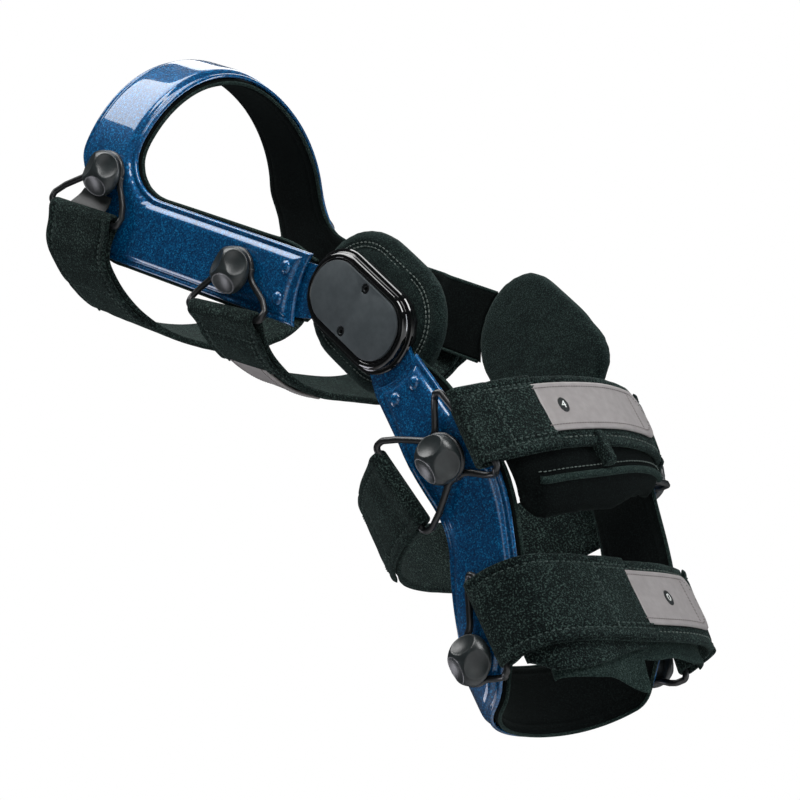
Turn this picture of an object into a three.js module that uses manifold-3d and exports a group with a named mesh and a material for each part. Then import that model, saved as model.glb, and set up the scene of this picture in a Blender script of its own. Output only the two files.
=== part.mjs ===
// Osteoarthritis knee brace, bent as it is worn: millimetres, +Z up, front at -Y.
// The origin is the knee's centre, midway between the two hinges.
import * as THREE from 'three';
import { mergeVertices } from 'three/addons/utils/BufferGeometryUtils.js';
import Module from 'manifold-3d';

const wasm = await Module();
wasm.setup();

// Posture
const restFlexion = THREE.MathUtils.degToRad(39);

// Shared walls and clearances
const gap = 0.3;
const shellWall = 3;
const rimHeight = 1.2;
const rimWidth = 4;
const linerThickness = 3.6;
const linerReach = 1;
const strapThickness = 4.6;
const wireRadius = 1.5;

// Hinges
const kneeHalfWidth = 68;
const pivotSpacing = 22;
const pinRadius = 3;
const armPlateThickness = 3;
const armPlateHalfWidth = 12.5;
const armPlateEnd = 62;
const capLength = 66;
const capWidth = 39;
const capThickness = 4.4;
const badgeLength = 55;
const badgeWidth = 28.5;
const badgeThickness = 1.3;
const backPlateThickness = 2;
const condylePadLength = 80;
const condylePadWidth = 64;
const condylePadThickness = 10;
const medialPadDrop = 8;
const screwRadius = 1.9;
const rivetRadius = 3.2;
const rivetHeight = 1.4;
const rivetShank = 2;

// Thigh shell, measured up the thigh from the knee's centre
const armHalfWidth = 16.8;
const armStart = 36;
const cuffBottom = 156;
const cuffTop = 191;
const thighDepth = 81.5;

// Calf shell, measured down the calf from the knee's centre
const calfDepth = 58;
const calfCuffTop = 148;
const calfCuffBottom = 181;

// How far each shell's outer face stands from the middle plane, on either side of the leg.
const walls = {
  thigh: {
    lateral: [{ along: 64, out: kneeHalfWidth }, { along: 191, out: 73.5 }],
    medial: [{ along: 64, out: kneeHalfWidth }, { along: 141, out: 66.5 }, { along: 191, out: 68 }],
  },
  calf: {
    lateral: [{ along: 66, out: kneeHalfWidth }, { along: 116, out: 57 }],
    medial: [
      { along: 63, out: kneeHalfWidth }, { along: 104, out: 60 }, { along: 124, out: 60.5 },
      { along: 150, out: 59.5 }, { along: 181, out: 54.5 },
    ],
  },
};

// The oval of each shell: where its crown stands, where a side turns into it and how square it is.
const crowns = {
  thigh: {
    x: -12,
    lateral: { flatReach: 18, squareness: 2.05 },
    medial: { flatReach: 14, squareness: 1.76 },
  },
  calf: {
    x: -1.5,
    lateral: { flatReach: 18, squareness: 2.2 },
    medial: { flatReach: 18, squareness: 2.2 },
  },
};

// Knobs and wire loops
const knobRadius = 10.9;
const knobNeck = 7.2;
const knobHeight = 7.5;
const knobShank = 2.5;
const scallopRadius = 9;

// Each knob: how far it stands forward of the limb's axis on either side, and from the knee.
const knobs = {
  thigh_upper: { limb: 'thigh', forward: { lateral: 21, medial: 11 }, along: 166, loops: 1 },
  thigh_lower: { limb: 'thigh', forward: { lateral: -1.5, medial: -3 }, along: 74, loops: 1 },
  calf_upper: { limb: 'calf', forward: { lateral: 9, medial: 9 }, along: 82, loops: 2 },
  calf_lower: { limb: 'calf', forward: { lateral: -27, medial: -25.5 }, along: 160, loops: 1 },
};

// Each strap: the bar of the loop at either end and the points that the band passes between
// them, from the lateral end. A bar leans forward of the limb's axis by lean degrees. Where a
// bar has no x it stands just clear of the shell.
const straps = {
  upper_thigh_strap: {
    limb: 'thigh', knob: 'thigh_upper', level: 0, width: 41, towardKnee: 8,
    bars: { lateral: { a: 0, along: 171, lean: -2 }, medial: { a: -8, along: 171, lean: -2 } },
    route: [
      { x: -77.5, a: -16 }, { x: -70, a: -26 }, { x: -54, a: -38 }, { x: -30, a: -47 }, { x: 0, a: -50 },
      { x: 29, a: -47 }, { x: 52, a: -39 }, { x: 66, a: -28 }, { x: 72.5, a: -18 },
    ],
  },
  lower_thigh_strap: {
    limb: 'thigh', knob: 'thigh_lower', level: 0, width: 40, towardKnee: 3,
    bars: { lateral: { a: -21, along: 71, lean: 6 }, medial: { a: -21, along: 71, lean: 6 } },
    route: [
      { x: -58, a: -36 }, { x: -34, a: -46.5 }, { x: 0, a: -49 }, { x: 34, a: -46.5 }, { x: 58, a: -36 },
    ],
  },
  upper_calf_strap: {
    limb: 'calf', knob: 'calf_upper', level: 1, width: 37, towardKnee: 3,
    bars: { lateral: { a: -17, along: 82, lean: 5 }, medial: { a: -17, along: 82, lean: 5 } },
    route: [
      { x: -60, a: -38.5 }, { x: -41.5, a: -58 }, { x: -19.5, a: -68 }, { x: 0, a: -70 },
      { x: 19.5, a: -68 }, { x: 41, a: -58 }, { x: 58, a: -38.5 },
    ],
  },
  upper_shin_strap: {
    limb: 'calf', knob: 'calf_upper', level: 0, width: 36, towardKnee: -1,
    bars: { lateral: { a: 27.5, along: 81, lean: -5 }, medial: { x: 54, a: 27, along: 77, lean: -3 } },
    route: [
      { x: -57, a: 36 }, { x: -33, a: 44.5 }, { x: 0, a: 48 }, { x: 19, a: 46 }, { x: 34, a: 42 },
      { x: 44, a: 37 },
    ],
  },
  lower_shin_strap: {
    limb: 'calf', knob: 'calf_lower', level: 0, width: 40, towardKnee: -6,
    bars: { lateral: { a: -10, along: 152, lean: 6 }, medial: { a: -9, along: 155, lean: 6 } },
    route: [
      { x: -62, a: -1 }, { x: -56, a: 9.5 }, { x: -45, a: 15.5 }, { x: -26, a: 20 }, { x: 0, a: 22 },
      { x: 28, a: 20.5 }, { x: 47, a: 15.5 }, { x: 58, a: 9 }, { x: 64, a: 0 },
    ],
  },
};

// A strap is built in equal steps. What rides on it runs from one step to another, counted from
// the lateral end, and shift is away from the knee. A tab lies outside the strap, a pad inside.
const strapSteps = 16;
const tabThickness = 1.6;
const riders = {
  lower_thigh_tab: { strap: 'lower_thigh_strap', from: 3, to: 7, width: 25, shift: 0 },
  upper_shin_tab: { strap: 'upper_shin_strap', from: 5, to: 14, width: 24, shift: -3 },
  lower_shin_tab: { strap: 'lower_shin_strap', from: 8, to: 13, width: 27, shift: 0 },
  tibia_pad: { strap: 'upper_shin_strap', from: 4, to: 14, width: 44, shift: 9, thickness: 8 },
  lower_shin_lining: { strap: 'lower_shin_strap', from: 3, to: 14, width: 42, shift: 11, thickness: 3 },
};

const finishes = {
  shell: { color: 0x0c4a80, roughness: 0.28, metalness: 0.55 },
  fabric: { color: 0x1c2726, roughness: 0.95, metalness: 0 },
  lining: { color: 0x101514, roughness: 0.9, metalness: 0 },
  gloss: { color: 0x0b0d0e, roughness: 0.15, metalness: 0 },
  badge: { color: 0x4b5053, roughness: 0.45, metalness: 0.4 },
  knob: { color: 0x3a4243, roughness: 0.4, metalness: 0 },
  wire: { color: 0x16191a, roughness: 0.45, metalness: 0.5 },
  tab: { color: 0x9a9291, roughness: 0.6, metalness: 0 },
  steel: { color: 0x2a2d2f, roughness: 0.35, metalness: 0.9 },
};

const materials = Object.fromEntries(
  Object.entries(finishes).map(([name, finish]) => [name, new THREE.MeshStandardMaterial(finish)]));

// Solids
function solidOf(geometry) {
  const bare = geometry.clone();
  for (const name of Object.keys(bare.attributes)) {
    if (name !== 'position') bare.deleteAttribute(name);
  }
  const merged = mergeVertices(bare, 1e-4);
  return new wasm.Manifold(new wasm.Mesh({
    numProp: 3,
    vertProperties: new Float32Array(merged.attributes.position.array),
    triVerts: new Uint32Array(merged.index.array),
  }));
}

// The facets of a boolean that lie within a hair of one plane are merged.
function geometryOf(solid) {
  const mesh = solid.simplify(0.12).getMesh();
  const geometry = new THREE.BufferGeometry();
  geometry.setAttribute('position', new THREE.BufferAttribute(mesh.vertProperties, 3));
  geometry.setIndex(new THREE.BufferAttribute(mesh.triVerts, 1));
  return geometry;
}

function cut(solid, ...tools) {
  return tools.reduce((left, tool) => left.subtract(tool), solid);
}

function join(solid, ...others) {
  return others.reduce((whole, other) => whole.add(other), solid);
}

// A closed body through rings of equal length, each an array of Vector3.
function loftRings(rings, endless = false) {
  const around = rings[0].length;
  const points = rings.flat();
  const index = [];
  const last = endless ? rings.length : rings.length - 1;
  for (let i = 0; i < last; i++) {
    const next = (i + 1) % rings.length;
    for (let j = 0; j < around; j++) {
      const k = (j + 1) % around;
      index.push(i * around + j, i * around + k, next * around + k);
      index.push(i * around + j, next * around + k, next * around + j);
    }
  }
  if (!endless) {
    for (const [ring, turn] of [[0, 1], [rings.length - 1, -1]]) {
      const centre = rings[ring].reduce((sum, p) => sum.add(p), new THREE.Vector3());
      points.push(centre.divideScalar(around));
      for (let j = 0; j < around; j++) {
        const edge = [ring * around + j, ring * around + (j + 1) % around];
        if (turn > 0) edge.reverse();
        index.push(points.length - 1, ...edge);
      }
    }
  }
  return closedSolid(points, index);
}

// A wall between two matched grids of points, grid[level][step].
function loftWall(outer, inner) {
  const levels = outer.length;
  const steps = outer[0].length;
  const points = [...outer.flat(), ...inner.flat()];
  const shift = levels * steps;
  const index = [];
  const quad = (a, b, c, d) => index.push(a, b, c, a, c, d);
  for (let i = 0; i < levels - 1; i++) {
    for (let j = 0; j < steps - 1; j++) {
      const a = i * steps + j;
      quad(a, a + 1, a + steps + 1, a + steps);
      quad(shift + a, shift + a + steps, shift + a + steps + 1, shift + a + 1);
    }
    const left = i * steps;
    const right = left + steps - 1;
    quad(left, left + steps, shift + left + steps, shift + left);
    quad(right, shift + right, shift + right + steps, right + steps);
  }
  for (let j = 0; j < steps - 1; j++) {
    const high = (levels - 1) * steps + j;
    quad(j, shift + j, shift + j + 1, j + 1);
    quad(high, high + 1, shift + high + 1, shift + high);
  }
  return closedSolid(points, index);
}

function closedSolid(points, index) {
  const build = (order) => {
    const geometry = new THREE.BufferGeometry().setFromPoints(points);
    geometry.setIndex(order);
    return solidOf(geometry);
  };
  const solid = build(index);
  if (solid.volume() > 0) return solid;
  const turned = [];
  for (let i = 0; i < index.length; i += 3) turned.push(index[i], index[i + 2], index[i + 1]);
  return build(turned);
}

// A polygon whose corners are rounded: each corner is { u, v, r }, sharp where r is 0.
function roundedOutline(corners, inset = 0, arcSteps = 3) {
  const area = corners.reduce((sum, p, i) => {
    const q = corners[(i + 1) % corners.length];
    return sum + p.u * q.v - q.u * p.v;
  }, 0);
  const order = area > 0 ? corners : [...corners].reverse();
  const count = order.length;
  const lines = order.map((p, i) => {
    const q = order[(i + 1) % count];
    const along = new THREE.Vector2(q.u - p.u, q.v - p.v).normalize();
    const inward = new THREE.Vector2(-along.y, along.x);
    const from = new THREE.Vector2(p.u, p.v).addScaledVector(inward, inset);
    return { along, inward, from };
  });
  const outline = [];
  for (let i = 0; i < count; i++) {
    const before = lines[(i + count - 1) % count];
    const after = lines[i];
    const turn = before.along.cross(after.along);
    if (!order[i].r) {
      outline.push(new THREE.Vector2(order[i].u, order[i].v));
      continue;
    }
    const reach = new THREE.Vector2().subVectors(after.from, before.from).cross(after.along) / turn;
    const corner = before.from.clone().addScaledVector(before.along, reach);
    const radius = Math.max(order[i].r - Math.sign(turn) * inset, 0.2);
    const angle = Math.atan2(turn, before.along.dot(after.along));
    const trim = radius * Math.tan(Math.abs(angle) / 2);
    const start = corner.clone().addScaledVector(before.along, -trim);
    const centre = start.clone().addScaledVector(before.inward, Math.sign(turn) * radius);
    const steps = Math.max(2, Math.round(arcSteps * Math.abs(angle) / (Math.PI / 2)));
    for (let k = 0; k <= steps; k++) {
      outline.push(start.clone().rotateAround(centre, angle * k / steps));
    }
  }
  return outline;
}

// A prism across the leg whose outline is given in (y, z), between two values of x.
function sidePrism(outline, low, high) {
  const geometry = new THREE.ExtrudeGeometry(new THREE.Shape(outline), { depth: high - low, bevelEnabled: false });
  // The outline's u runs along Y, its v along Z and the depth along X.
  geometry.applyMatrix4(new THREE.Matrix4().makeBasis(
    new THREE.Vector3(0, 1, 0), new THREE.Vector3(0, 0, 1), new THREE.Vector3(1, 0, 0)));
  geometry.translate(low, 0, 0);
  return solidOf(geometry);
}

function crossPin(radius, y, z, low, high, sides = 16) {
  const geometry = new THREE.CylinderGeometry(radius, radius, high - low, sides);
  geometry.rotateZ(Math.PI / 2);
  geometry.translate((low + high) / 2, y, z);
  return solidOf(geometry);
}

// A shape turned about an axis along X: profile points are { r, h }, h outwards from the leg.
function turned(profile, side, x, y, z, sides = 16) {
  const points = profile.map(({ r, h }) => new THREE.Vector2(r, h));
  const geometry = new THREE.LatheGeometry(points, sides);
  geometry.rotateZ(-side * Math.PI / 2);
  geometry.translate(x, y, z);
  return closedFrom(geometry);
}

function closedFrom(geometry) {
  const bare = geometry.clone();
  bare.deleteAttribute('normal');
  bare.deleteAttribute('uv');
  const merged = mergeVertices(bare, 1e-4);
  const points = [];
  const position = merged.attributes.position;
  for (let i = 0; i < position.count; i++) points.push(new THREE.Vector3().fromBufferAttribute(position, i));
  const index = [];
  const order = merged.index.array;
  for (let i = 0; i < order.length; i += 3) {
    const [a, b, c] = [order[i], order[i + 1], order[i + 2]];
    if (a !== b && b !== c && c !== a) index.push(a, b, c);
  }
  return closedSolid(points, index);
}

// Limb shells
// A limb is described in its own frame: +Z away from the foot, +Y back, -X lateral.
const limbs = {
  thigh: { up: 1, front: 1, depth: thighDepth, levels: [armStart - 4, armPlateEnd + 2, 104, 141, cuffTop + 4] },
  calf: { up: -1, front: -1, depth: calfDepth, levels: [armStart - 4, armPlateEnd + 2, 76, 90, 104, 124, 150, calfCuffBottom + 4] },
};
const sides = { lateral: -1, medial: 1 };

// How far a limb's outer face stands from the middle plane, on one side.
function wallAt(limb, along, side) {
  const rows = walls[limb][side < 0 ? 'lateral' : 'medial'];
  if (along <= rows[0].along) return rows[0].out;
  const next = rows.findIndex((row) => row.along > along);
  if (next < 0) return rows[rows.length - 1].out;
  const [low, high] = [rows[next - 1], rows[next]];
  return THREE.MathUtils.lerp(low.out, high.out, THREE.MathUtils.smoothstep(along, low.along, high.along));
}

const ringSteps = 5;

// A horseshoe seen along the limb: straight sides, then an oval round the front or back.
function horseshoe(limb, along, inset) {
  const { front, depth } = limbs[limb];
  const crown = crowns[limb];
  const half = (side) => {
    const { flatReach, squareness } = crown[side < 0 ? 'lateral' : 'medial'];
    const wall = side * wallAt(limb, along, side);
    const points = [new THREE.Vector2(wall, -front * 38), new THREE.Vector2(wall, 0)];
    for (let i = 0; i < ringSteps; i++) {
      const turn = Math.PI / 2 * (1 - i / ringSteps);
      points.push(new THREE.Vector2(
        crown.x + (wall - crown.x) * Math.sin(turn) ** (2 / squareness),
        front * (flatReach + (depth - flatReach) * Math.cos(turn) ** (2 / squareness))));
    }
    return points;
  };
  const outer = [...half(-1), new THREE.Vector2(crown.x, front * depth), ...half(1).reverse()];
  return outer.map((p, i) => {
    const before = outer[Math.max(i - 1, 0)];
    const after = outer[Math.min(i + 1, outer.length - 1)];
    const ahead = new THREE.Vector2().subVectors(after, before).normalize();
    const inward = new THREE.Vector2(ahead.y * front, -ahead.x * front);
    return p.clone().addScaledVector(inward, inset);
  });
}

// A wall that follows a limb's horseshoe between two depths below its outer face.
function limbWall(limb, from, to) {
  const grid = (inset) => limbs[limb].levels.map((along) => horseshoe(limb, along, inset).map(
    (p) => new THREE.Vector3(p.x, -p.y, limbs[limb].up * along)));
  return loftWall(grid(from), grid(to));
}

// The outline of each shell seen from the side. The medial thigh arm is narrower and set back.
const thighOutline = (front, back) => [
  { a: front, along: armStart, r: 3 },
  { a: front, along: cuffBottom, r: 24 },
  { a: thighDepth + 20, along: cuffBottom + 3, r: 2 },
  { a: thighDepth + 20, along: cuffTop, r: 2 },
  { a: armHalfWidth + 10, along: cuffTop, r: 14 },
  { a: back, along: cuffBottom + 5, r: 14 },
  { a: back, along: armStart, r: 3 },
];

const calfOutline = (bulge) => [
  { a: armHalfWidth, along: armStart - 1, r: 3 },
  { a: armHalfWidth + bulge, along: 92, r: 45 },
  { a: armHalfWidth - 9, along: 140, r: 40 },
  { a: -armHalfWidth - 12, along: calfCuffBottom - 2, r: 16 },
  { a: -calfDepth - 20, along: calfCuffBottom, r: 2 },
  { a: -calfDepth - 20, along: calfCuffTop, r: 2 },
  { a: -armHalfWidth - 23, along: calfCuffTop, r: 16 },
  { a: -armHalfWidth + 3, along: 103, r: 45 },
  { a: -armHalfWidth + 7, along: armStart - 1, r: 3 },
];

const outlines = {
  thigh: { lateral: thighOutline(armHalfWidth, -armHalfWidth), medial: thighOutline(armHalfWidth - 3.5, -armHalfWidth - 2) },
  calf: { lateral: calfOutline(10), medial: calfOutline(4) },
};

function limbPrism(limb, inset) {
  const halves = Object.entries(sides).map(([sideName, side]) => {
    const corners = outlines[limb][sideName].map(({ a, along, r }) => ({ u: -a, v: limbs[limb].up * along, r }));
    const [low, high] = ordered(side, 0, kneeHalfWidth * 2);
    return sidePrism(roundedOutline(corners, inset), low, high);
  });
  return join(...halves);
}

const pivotUp = pivotSpacing / 2;
const plateOuter = kneeHalfWidth - shellWall - gap;
const plateInner = plateOuter - armPlateThickness;

// Where a hinge's pivot lies in a limb's own frame.
function pivotIn(limb) {
  const { up } = limbs[limb];
  const half = restFlexion / 2;
  return { y: -pivotUp * Math.sin(half), z: up * pivotUp * Math.cos(half) };
}

// A hinge arm: an eye round the pivot and a plate that runs under the shell.
function armPlate(limb, spread, low, high) {
  const { up } = limbs[limb];
  const pivot = pivotIn(limb);
  const eye = pivotUp - gap + spread;
  const half = armPlateHalfWidth + spread;
  const plate = roundedOutline([
    { u: pivot.y - eye * 0.97, v: pivot.z, r: 0 },
    { u: pivot.y + eye * 0.97, v: pivot.z, r: 0 },
    { u: half, v: up * armStart, r: 0 },
    { u: half, v: up * (armPlateEnd + spread), r: 4 },
    { u: -half, v: up * (armPlateEnd + spread), r: 4 },
    { u: -half, v: up * armStart, r: 0 },
  ]);
  return join(crossPin(eye, pivot.y, pivot.z, low, high, 14), sidePrism(plate, low, high));
}

// Rivets through shell and hinge arm: how far each stands forward of the limb's axis.
const rivets = {
  thigh: { along: 47, lateral: [7.5, -7], medial: [5, -9] },
  calf: { along: 46, lateral: [10.8, -1.5], medial: [9, -1.5] },
};

// A hole through which a pin of the given radius passes with the usual gap.
function holeRadius(radius, sidesRound) {
  return (radius + gap) / Math.cos(Math.PI / sidesRound);
}

function rivetHoles(limb, sideName, low, high) {
  const { up } = limbs[limb];
  const { along } = rivets[limb];
  return rivets[limb][sideName].map((a) => crossPin(holeRadius(rivetShank, 7), -a, up * along, low, high, 7));
}

function ordered(side, inner, outer) {
  return side < 0 ? [-outer, -inner] : [inner, outer];
}

// Where a knob stands: x = 0 is the shell's outer face there, and X leaves it squarely.
function knobPlace(knob, sideName) {
  const side = sides[sideName];
  const { up } = limbs[knob.limb];
  const wall = wallAt(knob.limb, knob.along, side);
  const outward = new THREE.Vector3(side, 0, -up * wallSlope(knob.limb, knob.along, side)).normalize();
  const turn = new THREE.Quaternion().setFromUnitVectors(new THREE.Vector3(side, 0, 0), outward);
  return new THREE.Matrix4().makeRotationFromQuaternion(turn)
    .setPosition(side * wall, -knob.forward[sideName], up * knob.along);
}

function atKnob(solid, knob, sideName) {
  return solid.transform(knobPlace(knob, sideName).toArray());
}

function wallSlope(limb, along, side) {
  return (wallAt(limb, along + 9, side) - wallAt(limb, along - 9, side)) / 18;
}

function knobHoles(limb, radius, depth) {
  return Object.values(knobs).filter((knob) => knob.limb === limb).flatMap((knob) =>
    Object.keys(sides).map((sideName) => {
      const [low, high] = ordered(sides[sideName], -depth, 4);
      return atKnob(crossPin(radius, 0, 0, low, high, 8), knob, sideName);
    }));
}

function limbHoles(limb) {
  const rivetsHere = Object.entries(sides).flatMap(([sideName, side]) => {
    const [low, high] = ordered(side, 10, kneeHalfWidth * 2);
    return rivetHoles(limb, sideName, low, high);
  });
  return [...rivetsHere, ...knobHoles(limb, holeRadius(knobShank, 8), 6)];
}

function limbFrame(limb) {
  const wall = limbWall(limb, 0, shellWall).intersect(limbPrism(limb, 0));
  const rim = limbWall(limb, -rimHeight, shellWall / 2)
    .intersect(limbPrism(limb, 0))
    .subtract(limbPrism(limb, rimWidth));
  return cut(join(wall, rim), ...limbHoles(limb));
}

function limbLiner(limb) {
  const { up } = limbs[limb];
  const inner = shellWall + gap;
  const cloth = limbWall(limb, inner, inner + linerThickness)
    .intersect(limbPrism(limb, -linerReach));
  const pockets = Object.values(sides).map((side) => {
    const [low, high] = ordered(side, plateInner - gap, kneeHalfWidth);
    return armPlate(limb, 2 * gap, low, high);
  });
  const kneeRoom = sidePrism(roundedOutline([
    { u: -60, v: -up * 10, r: 2 },
    { u: 60, v: -up * 10, r: 2 },
    { u: 60, v: up * linerStart, r: 2 },
    { u: -60, v: up * linerStart, r: 2 },
  ]), -kneeHalfWidth, kneeHalfWidth);
  const shanks = knobHoles(limb, holeRadius(knobShank + gap, 8), shellWall + 2 * gap + 1);
  return cut(cloth, ...pockets, kneeRoom, ...shanks);
}

const linerStart = 44;

// The room that a limb's shell and liner take up, with the usual gap round them.
function limbRoom(limb) {
  return limbWall(limb, -rimHeight - gap, shellWall + linerThickness + 2 * gap)
    .intersect(limbPrism(limb, -linerReach - gap));
}

// Hinge parts
const layers = {};
layers.arm = { outer: plateOuter, inner: plateInner };
layers.cap = { inner: plateOuter + gap, outer: plateOuter + gap + capThickness };
layers.badge = { inner: layers.cap.outer + gap, outer: layers.cap.outer + gap + badgeThickness };
layers.back = { outer: plateInner - gap, inner: plateInner - gap - backPlateThickness };
layers.pad = { outer: layers.back.inner - gap, inner: layers.back.inner - gap - condylePadThickness };

function slab(side, layer, length, width, chamfer = 0) {
  const [low, high] = ordered(side, layer.inner, layer.outer);
  const outline = (inset) => roundedOutline([
    { u: -width / 2, v: -length / 2, r: width / 2 - 0.05 },
    { u: width / 2, v: -length / 2, r: width / 2 - 0.05 },
    { u: width / 2, v: length / 2, r: width / 2 - 0.05 },
    { u: -width / 2, v: length / 2, r: width / 2 - 0.05 },
  ], inset, 4);
  if (!chamfer) return sidePrism(outline(0), low, high);
  const ring = (x, inset) => outline(inset).map((p) => new THREE.Vector3(x, p.x, p.y));
  const outer = side < 0 ? low : high;
  const inner = side < 0 ? high : low;
  return loftRings([ring(inner, 0), ring(outer - side * chamfer, 0), ring(outer, chamfer)]);
}

function pivotPins(side, radius) {
  const [low, high] = ordered(side, layers.back.inner, layers.cap.inner + 1);
  return [1, -1].map((way) => crossPin(radius, 0, way * pivotUp, low, high, 10));
}

const screwPlaces = [{ y: -11.2, z: 0 }, { y: 11.2, z: 0 }];

function hingeCap(side) {
  const cap = slab(side, layers.cap, capLength, capWidth, 1.8);
  const screwHoles = screwPlaces.map(({ y, z }) => {
    const [low, high] = ordered(side, layers.cap.inner + 1.2, layers.badge.outer + 5);
    return crossPin(holeRadius(screwRadius, 8), y, z, low, high, 8);
  });
  return cut(join(cap, ...pivotPins(side, pinRadius)), ...screwHoles);
}

function hingeBadge(side) {
  const plate = slab(side, layers.badge, badgeLength, badgeWidth, 0.5);
  const holes = screwPlaces.map(({ y, z }) => {
    const [low, high] = ordered(side, 0, kneeHalfWidth * 2);
    return crossPin(holeRadius(screwRadius, 8), y, z, low, high, 8);
  });
  return cut(plate, ...holes);
}

function hingeScrew(side, place) {
  const [low, high] = ordered(side, layers.cap.inner + 1.2 + gap, layers.badge.outer + 0.4);
  const socket = ordered(side, layers.badge.outer - 0.6, layers.badge.outer + 3);
  return cut(crossPin(screwRadius, place.y, place.z, low, high, 10),
    crossPin(screwRadius / 2, place.y, place.z, socket[0], socket[1], 6));
}

function hingeBack(side) {
  const plate = slab(side, layers.back, capLength - 6, capWidth - 3);
  return cut(plate, ...pivotPins(side, holeRadius(pinRadius, 10)));
}

function condylePad(side) {
  const low = side > 0 ? medialPadDrop : 0;
  const ring = (x, inset) => roundedOutline([
    { u: -condylePadWidth * 0.5, v: -condylePadLength * 0.5 - low, r: 30 },
    { u: condylePadWidth * 0.48, v: -condylePadLength * 0.5 - low, r: 30 },
    { u: condylePadWidth * 0.48, v: condylePadLength * 0.48 - low, r: 30 },
    { u: -condylePadWidth * 0.5, v: condylePadLength * 0.5 - low, r: 30 },
  ], inset, 4).map((p) => new THREE.Vector3(side * x, p.x, p.y));
  const { outer, inner } = layers.pad;
  return loftRings([
    ring(outer, 5), ring(outer - 1.5, 1.4), ring((outer + inner) / 2, 0),
    ring(inner + 1.5, 1.4), ring(inner, 5),
  ]);
}

// Knobs and loops
const loopPitch = 2 * wireRadius + gap;

function knobSolid(knob, sideName) {
  const side = sides[sideName];
  const base = rimHeight + 2 * gap + knob.loops * loopPitch;
  const h = (out) => out - base;
  const profile = [
    { r: 0, h: h(-shellWall - gap) }, { r: knobShank, h: h(-shellWall - gap) }, { r: knobShank, h: h(4 * gap) },
    { r: knobNeck, h: h(4 * gap) }, { r: knobNeck, h: 0 }, { r: knobRadius, h: 0 },
    { r: knobRadius, h: knobHeight * 0.5 }, { r: knobRadius * 0.78, h: knobHeight * 0.9 },
    { r: 0, h: knobHeight },
  ];
  const body = turned(profile, side, side * base, 0, 0, 10);
  const scallops = [60, 180, 300].map((angle) => {
    const turn = THREE.MathUtils.degToRad(angle);
    const ball = new THREE.SphereGeometry(scallopRadius, 6, 5);
    const reach = knobRadius * 0.62;
    ball.translate(side * (base + knobHeight + scallopRadius * 0.72), reach * Math.cos(turn), reach * Math.sin(turn));
    return closedFrom(ball);
  });
  return atKnob(cut(body, ...scallops), knob, sideName);
}

// Places, on one side, everything that a strap's end needs.
function strapEnd(strap, side) {
  const knob = knobs[strap.knob];
  const { up } = limbs[strap.limb];
  const sideName = side < 0 ? 'lateral' : 'medial';
  const spot = strap.bars[sideName];
  const lean = THREE.MathUtils.degToRad(spot.lean);
  const rise = rimHeight + 2 * gap + wireRadius + strap.level * loopPitch;
  const neck = new THREE.Vector3(side * rise, 0, 0).applyMatrix4(knobPlace(knob, sideName));
  const roll = rollRadius();
  const barWall = wallAt(strap.limb, spot.along, side);
  const barOut = spot.x ?? Math.max(barWall + rimHeight + gap + roll, Math.abs(neck.x));
  const bar = new THREE.Vector3(side * barOut, -spot.a, up * spot.along);
  const slope = wallSlope(knob.limb, knob.along, side);
  const along = new THREE.Vector3(side * slope, Math.sin(lean), up * Math.cos(lean)).normalize();
  return { neck, bar, along, side, roll, liftFrom: spot.x ? knobRadius + 3 : knobRadius + 1 };
}

function rollRadius() {
  return wireRadius + gap + strapThickness * 0.6;
}

function wireLoop(strap, side) {
  const { neck, bar, along, liftFrom, roll } = strapEnd(strap, side);
  const away = new THREE.Vector3(1, 0, 0).cross(along).normalize();
  if (away.dot(new THREE.Vector3().subVectors(bar, neck)) < 0) away.negate();
  const across = new THREE.Vector3().subVectors(bar, neck);
  const reach = across.dot(away);
  const slip = (across.z - away.z * reach) / along.z;
  const ringRadius = (knobNeck + gap + wireRadius) / Math.cos(Math.PI / 8);
  const corner = 2.4;
  const halfBar = strap.width / 2 + gap + corner;
  const outline = roundedOutline([
    { u: reach - roll - gap, v: slip + halfBar, r: 0 },
    { u: reach, v: slip + halfBar, r: corner },
    { u: reach, v: slip - halfBar, r: corner },
    { u: reach - roll - gap, v: slip - halfBar, r: 0 },
    { u: 2, v: -ringRadius, r: 9 },
    { u: -ringRadius, v: -ringRadius, r: ringRadius - 0.1 },
    { u: -ringRadius, v: ringRadius, r: ringRadius - 0.1 },
    { u: 2, v: ringRadius, r: 9 },
  ], 0, 2);
  const lift = bar.x - neck.x - away.x * reach - along.x * slip;
  const centres = outline.map((p) => {
    const share = THREE.MathUtils.smoothstep(p.x, liftFrom, reach - wireRadius);
    return new THREE.Vector3(neck.x + lift * share, neck.y, neck.z)
      .addScaledVector(away, p.x).addScaledVector(along, p.y);
  });
  return endlessWire(centres, wireRadius, 5);
}

function endlessWire(centres, radius, sidesRound) {
  const kept = centres.filter((p, i) => p.distanceTo(centres[(i + 1) % centres.length]) > 1);
  const outward = new THREE.Vector3(1, 0, 0);
  const rings = kept.map((p, i) => {
    const before = kept[(i + kept.length - 1) % kept.length];
    const after = kept[(i + 1) % kept.length];
    const ahead = new THREE.Vector3().subVectors(after, before).normalize();
    const aside = new THREE.Vector3().crossVectors(ahead, outward).normalize();
    const over = new THREE.Vector3().crossVectors(aside, ahead);
    return Array.from({ length: sidesRound }, (_, k) => {
      const turn = (k + 0.5) / sidesRound * 2 * Math.PI;
      return p.clone().addScaledVector(aside, radius * Math.cos(turn))
        .addScaledVector(over, radius * Math.sin(turn));
    });
  });
  return loftRings(rings, true);
}

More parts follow.
